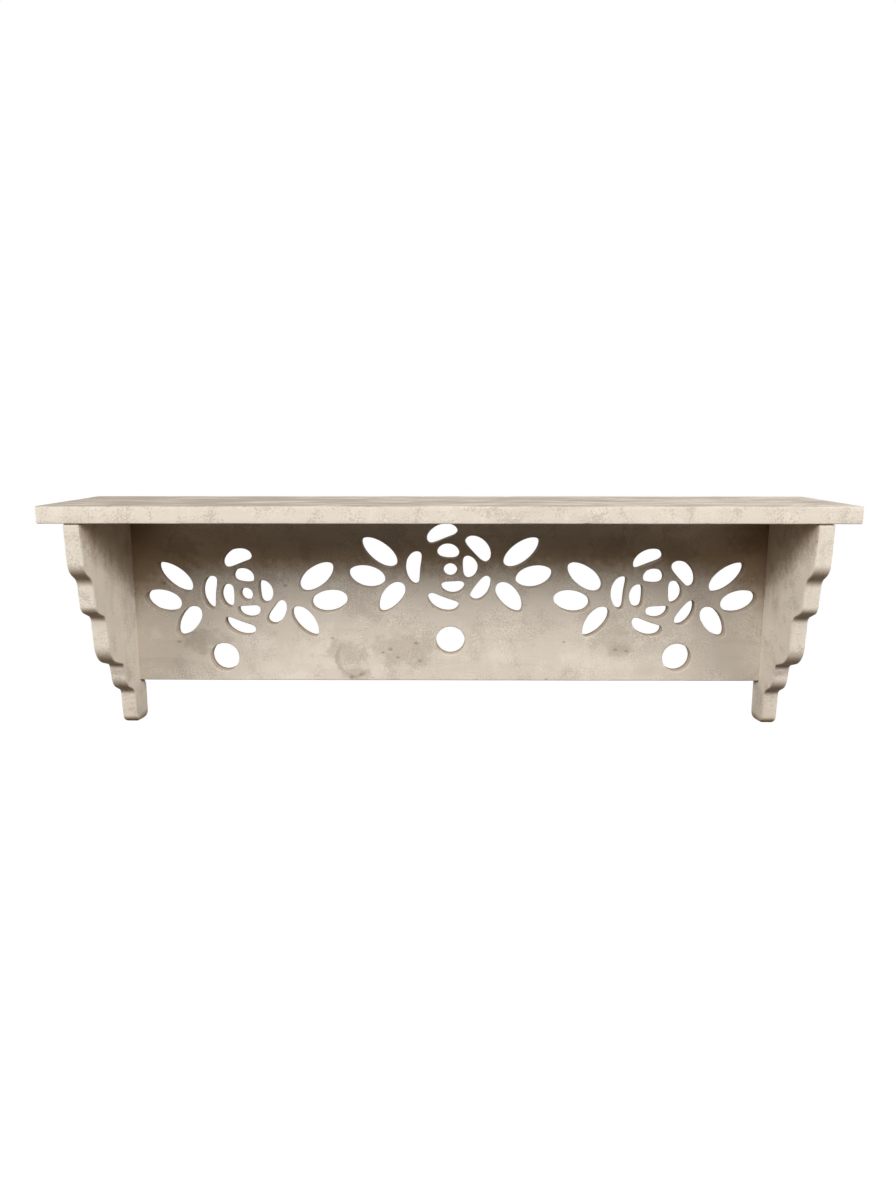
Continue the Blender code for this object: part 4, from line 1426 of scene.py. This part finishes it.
def finish_dowels(wood):
    """Gives the dowels, whose own solids stay, their wood."""
    for node in DOWELS:
        dowel = frame["nodes"][node]
        dowel.data.materials.clear()
        dowel.data.materials.append(wood)


def seen_white(tree):
    """1 for rays that show the background: straight from the camera, off gloss or through glass."""
    rays = fields(add(tree, "ShaderNodeLightPath"))
    shown = maths("MAXIMUM", rays["Is Camera Ray"], rays["Is Glossy Ray"])
    return maths("MAXIMUM", shown, rays["Is Transmission Ray"])


def make_floor():
    """A wide pale floor under the shelf, white to the camera apart from the shadow on it."""
    shape = bmesh.new()
    bmesh.ops.create_grid(shape, x_segments=FLOOR_CELLS, y_segments=FLOOR_CELLS, size=FLOOR_SIZE / 2)
    mesh = closed_mesh("floor", shape)
    mesh.transform(Matrix.Translation((0, 0, FLOOR_LEVEL)))
    floor = bpy.data.objects.new("floor", mesh)
    bpy.context.scene.collection.objects.link(floor)
    material, place, shader = new_material("pale_floor")
    tree = material.node_tree
    tree.nodes.remove(shader)
    matt = made(tree, "ShaderNodeBsdfDiffuse", {"Color": FLOOR_GREY})
    away = maths("DISTANCE", place, (0, 0, FLOOR_LEVEL))
    glow = seen_white(tree) * ramped(away, *FLOOR_GLOW_RUN, *FLOOR_GLOW)
    white = made(tree, "ShaderNodeEmission", {"Color": WHITE, "Strength": glow})
    both = made(tree, "ShaderNodeAddShader", {0: matt, 1: white})
    give(tree.nodes["Material Output"].inputs["Surface"], both)
    mesh.materials.append(material)


def make_world():
    """White where the background shows, and a dim warm light on the object."""
    world = bpy.data.worlds.new("studio")
    bpy.context.scene.world = world
    world.use_nodes = True
    tree = world.node_tree
    give(tree.nodes["Background"].inputs["Color"], blended(seen_white(tree), AMBIENT, WHITE))


def make_lamp(name, lamp, azimuth):
    """A soft rectangular lamp that faces the shelf: azimuth is 0 in front of it and 90 on its right."""
    light = bpy.data.lights.new(name, "AREA")
    light.shape = "RECTANGLE"
    light.size = lamp.width
    light.size_y = LAMP_HEIGHT
    light.energy = lamp.power
    holder = bpy.data.objects.new(name, light)
    turn, lift = radians(azimuth), radians(lamp.elevation)
    away = Vector((sin(turn) * cos(lift), -cos(turn) * cos(lift), sin(lift)))
    holder.location = Vector(LAMP_TARGET) + LAMP_DISTANCE * away
    holder.rotation_euler = (-away).to_track_quat("-Z", "Y").to_euler()
    bpy.context.scene.collection.objects.link(holder)


def make_camera():
    """The camera where the shelf was seen from."""
    camera = bpy.data.cameras.new("camera")
    camera.sensor_width = SENSOR
    camera.lens = FOCAL_PIXELS / IMAGE_HEIGHT * SENSOR
    holder = bpy.data.objects.new("camera", camera)
    holder.location = CAMERA_SPOT
    holder.rotation_euler = (radians(90 - CAMERA_PITCH), 0, radians(CAMERA_YAW))
    bpy.context.scene.collection.objects.link(holder)
    bpy.context.scene.camera = holder


BOARD_TREE = eased_board_tree()
SCREW_TREE = driven_screws_tree()

make_camera()
make_world()
make_floor()
for side, way in SIDES.items():
    for lamp in LAMP_PAIRS:
        make_lamp(f"{side}_{lamp.name}", lamp, way * lamp.azimuth)
make_lamp(BACK_LAMP.name, BACK_LAMP, BACK_LAMP.azimuth)

make_shelf(shelf_paint())
make_panel(panel_paint())
BRACKET_PAINT = bracket_paint()
STEEL = zinc()
for side in SIDES:
    make_bracket(side, BRACKET_PAINT)
    make_hanger(side, STEEL)
make_screws("bracket_screws", BRACKET_SCREWS, STEEL)
make_screws("hanger_screws", HANGER_SCREWS, STEEL)
finish_dowels(beech())

bpy.context.scene.view_settings.view_transform = "Standard"
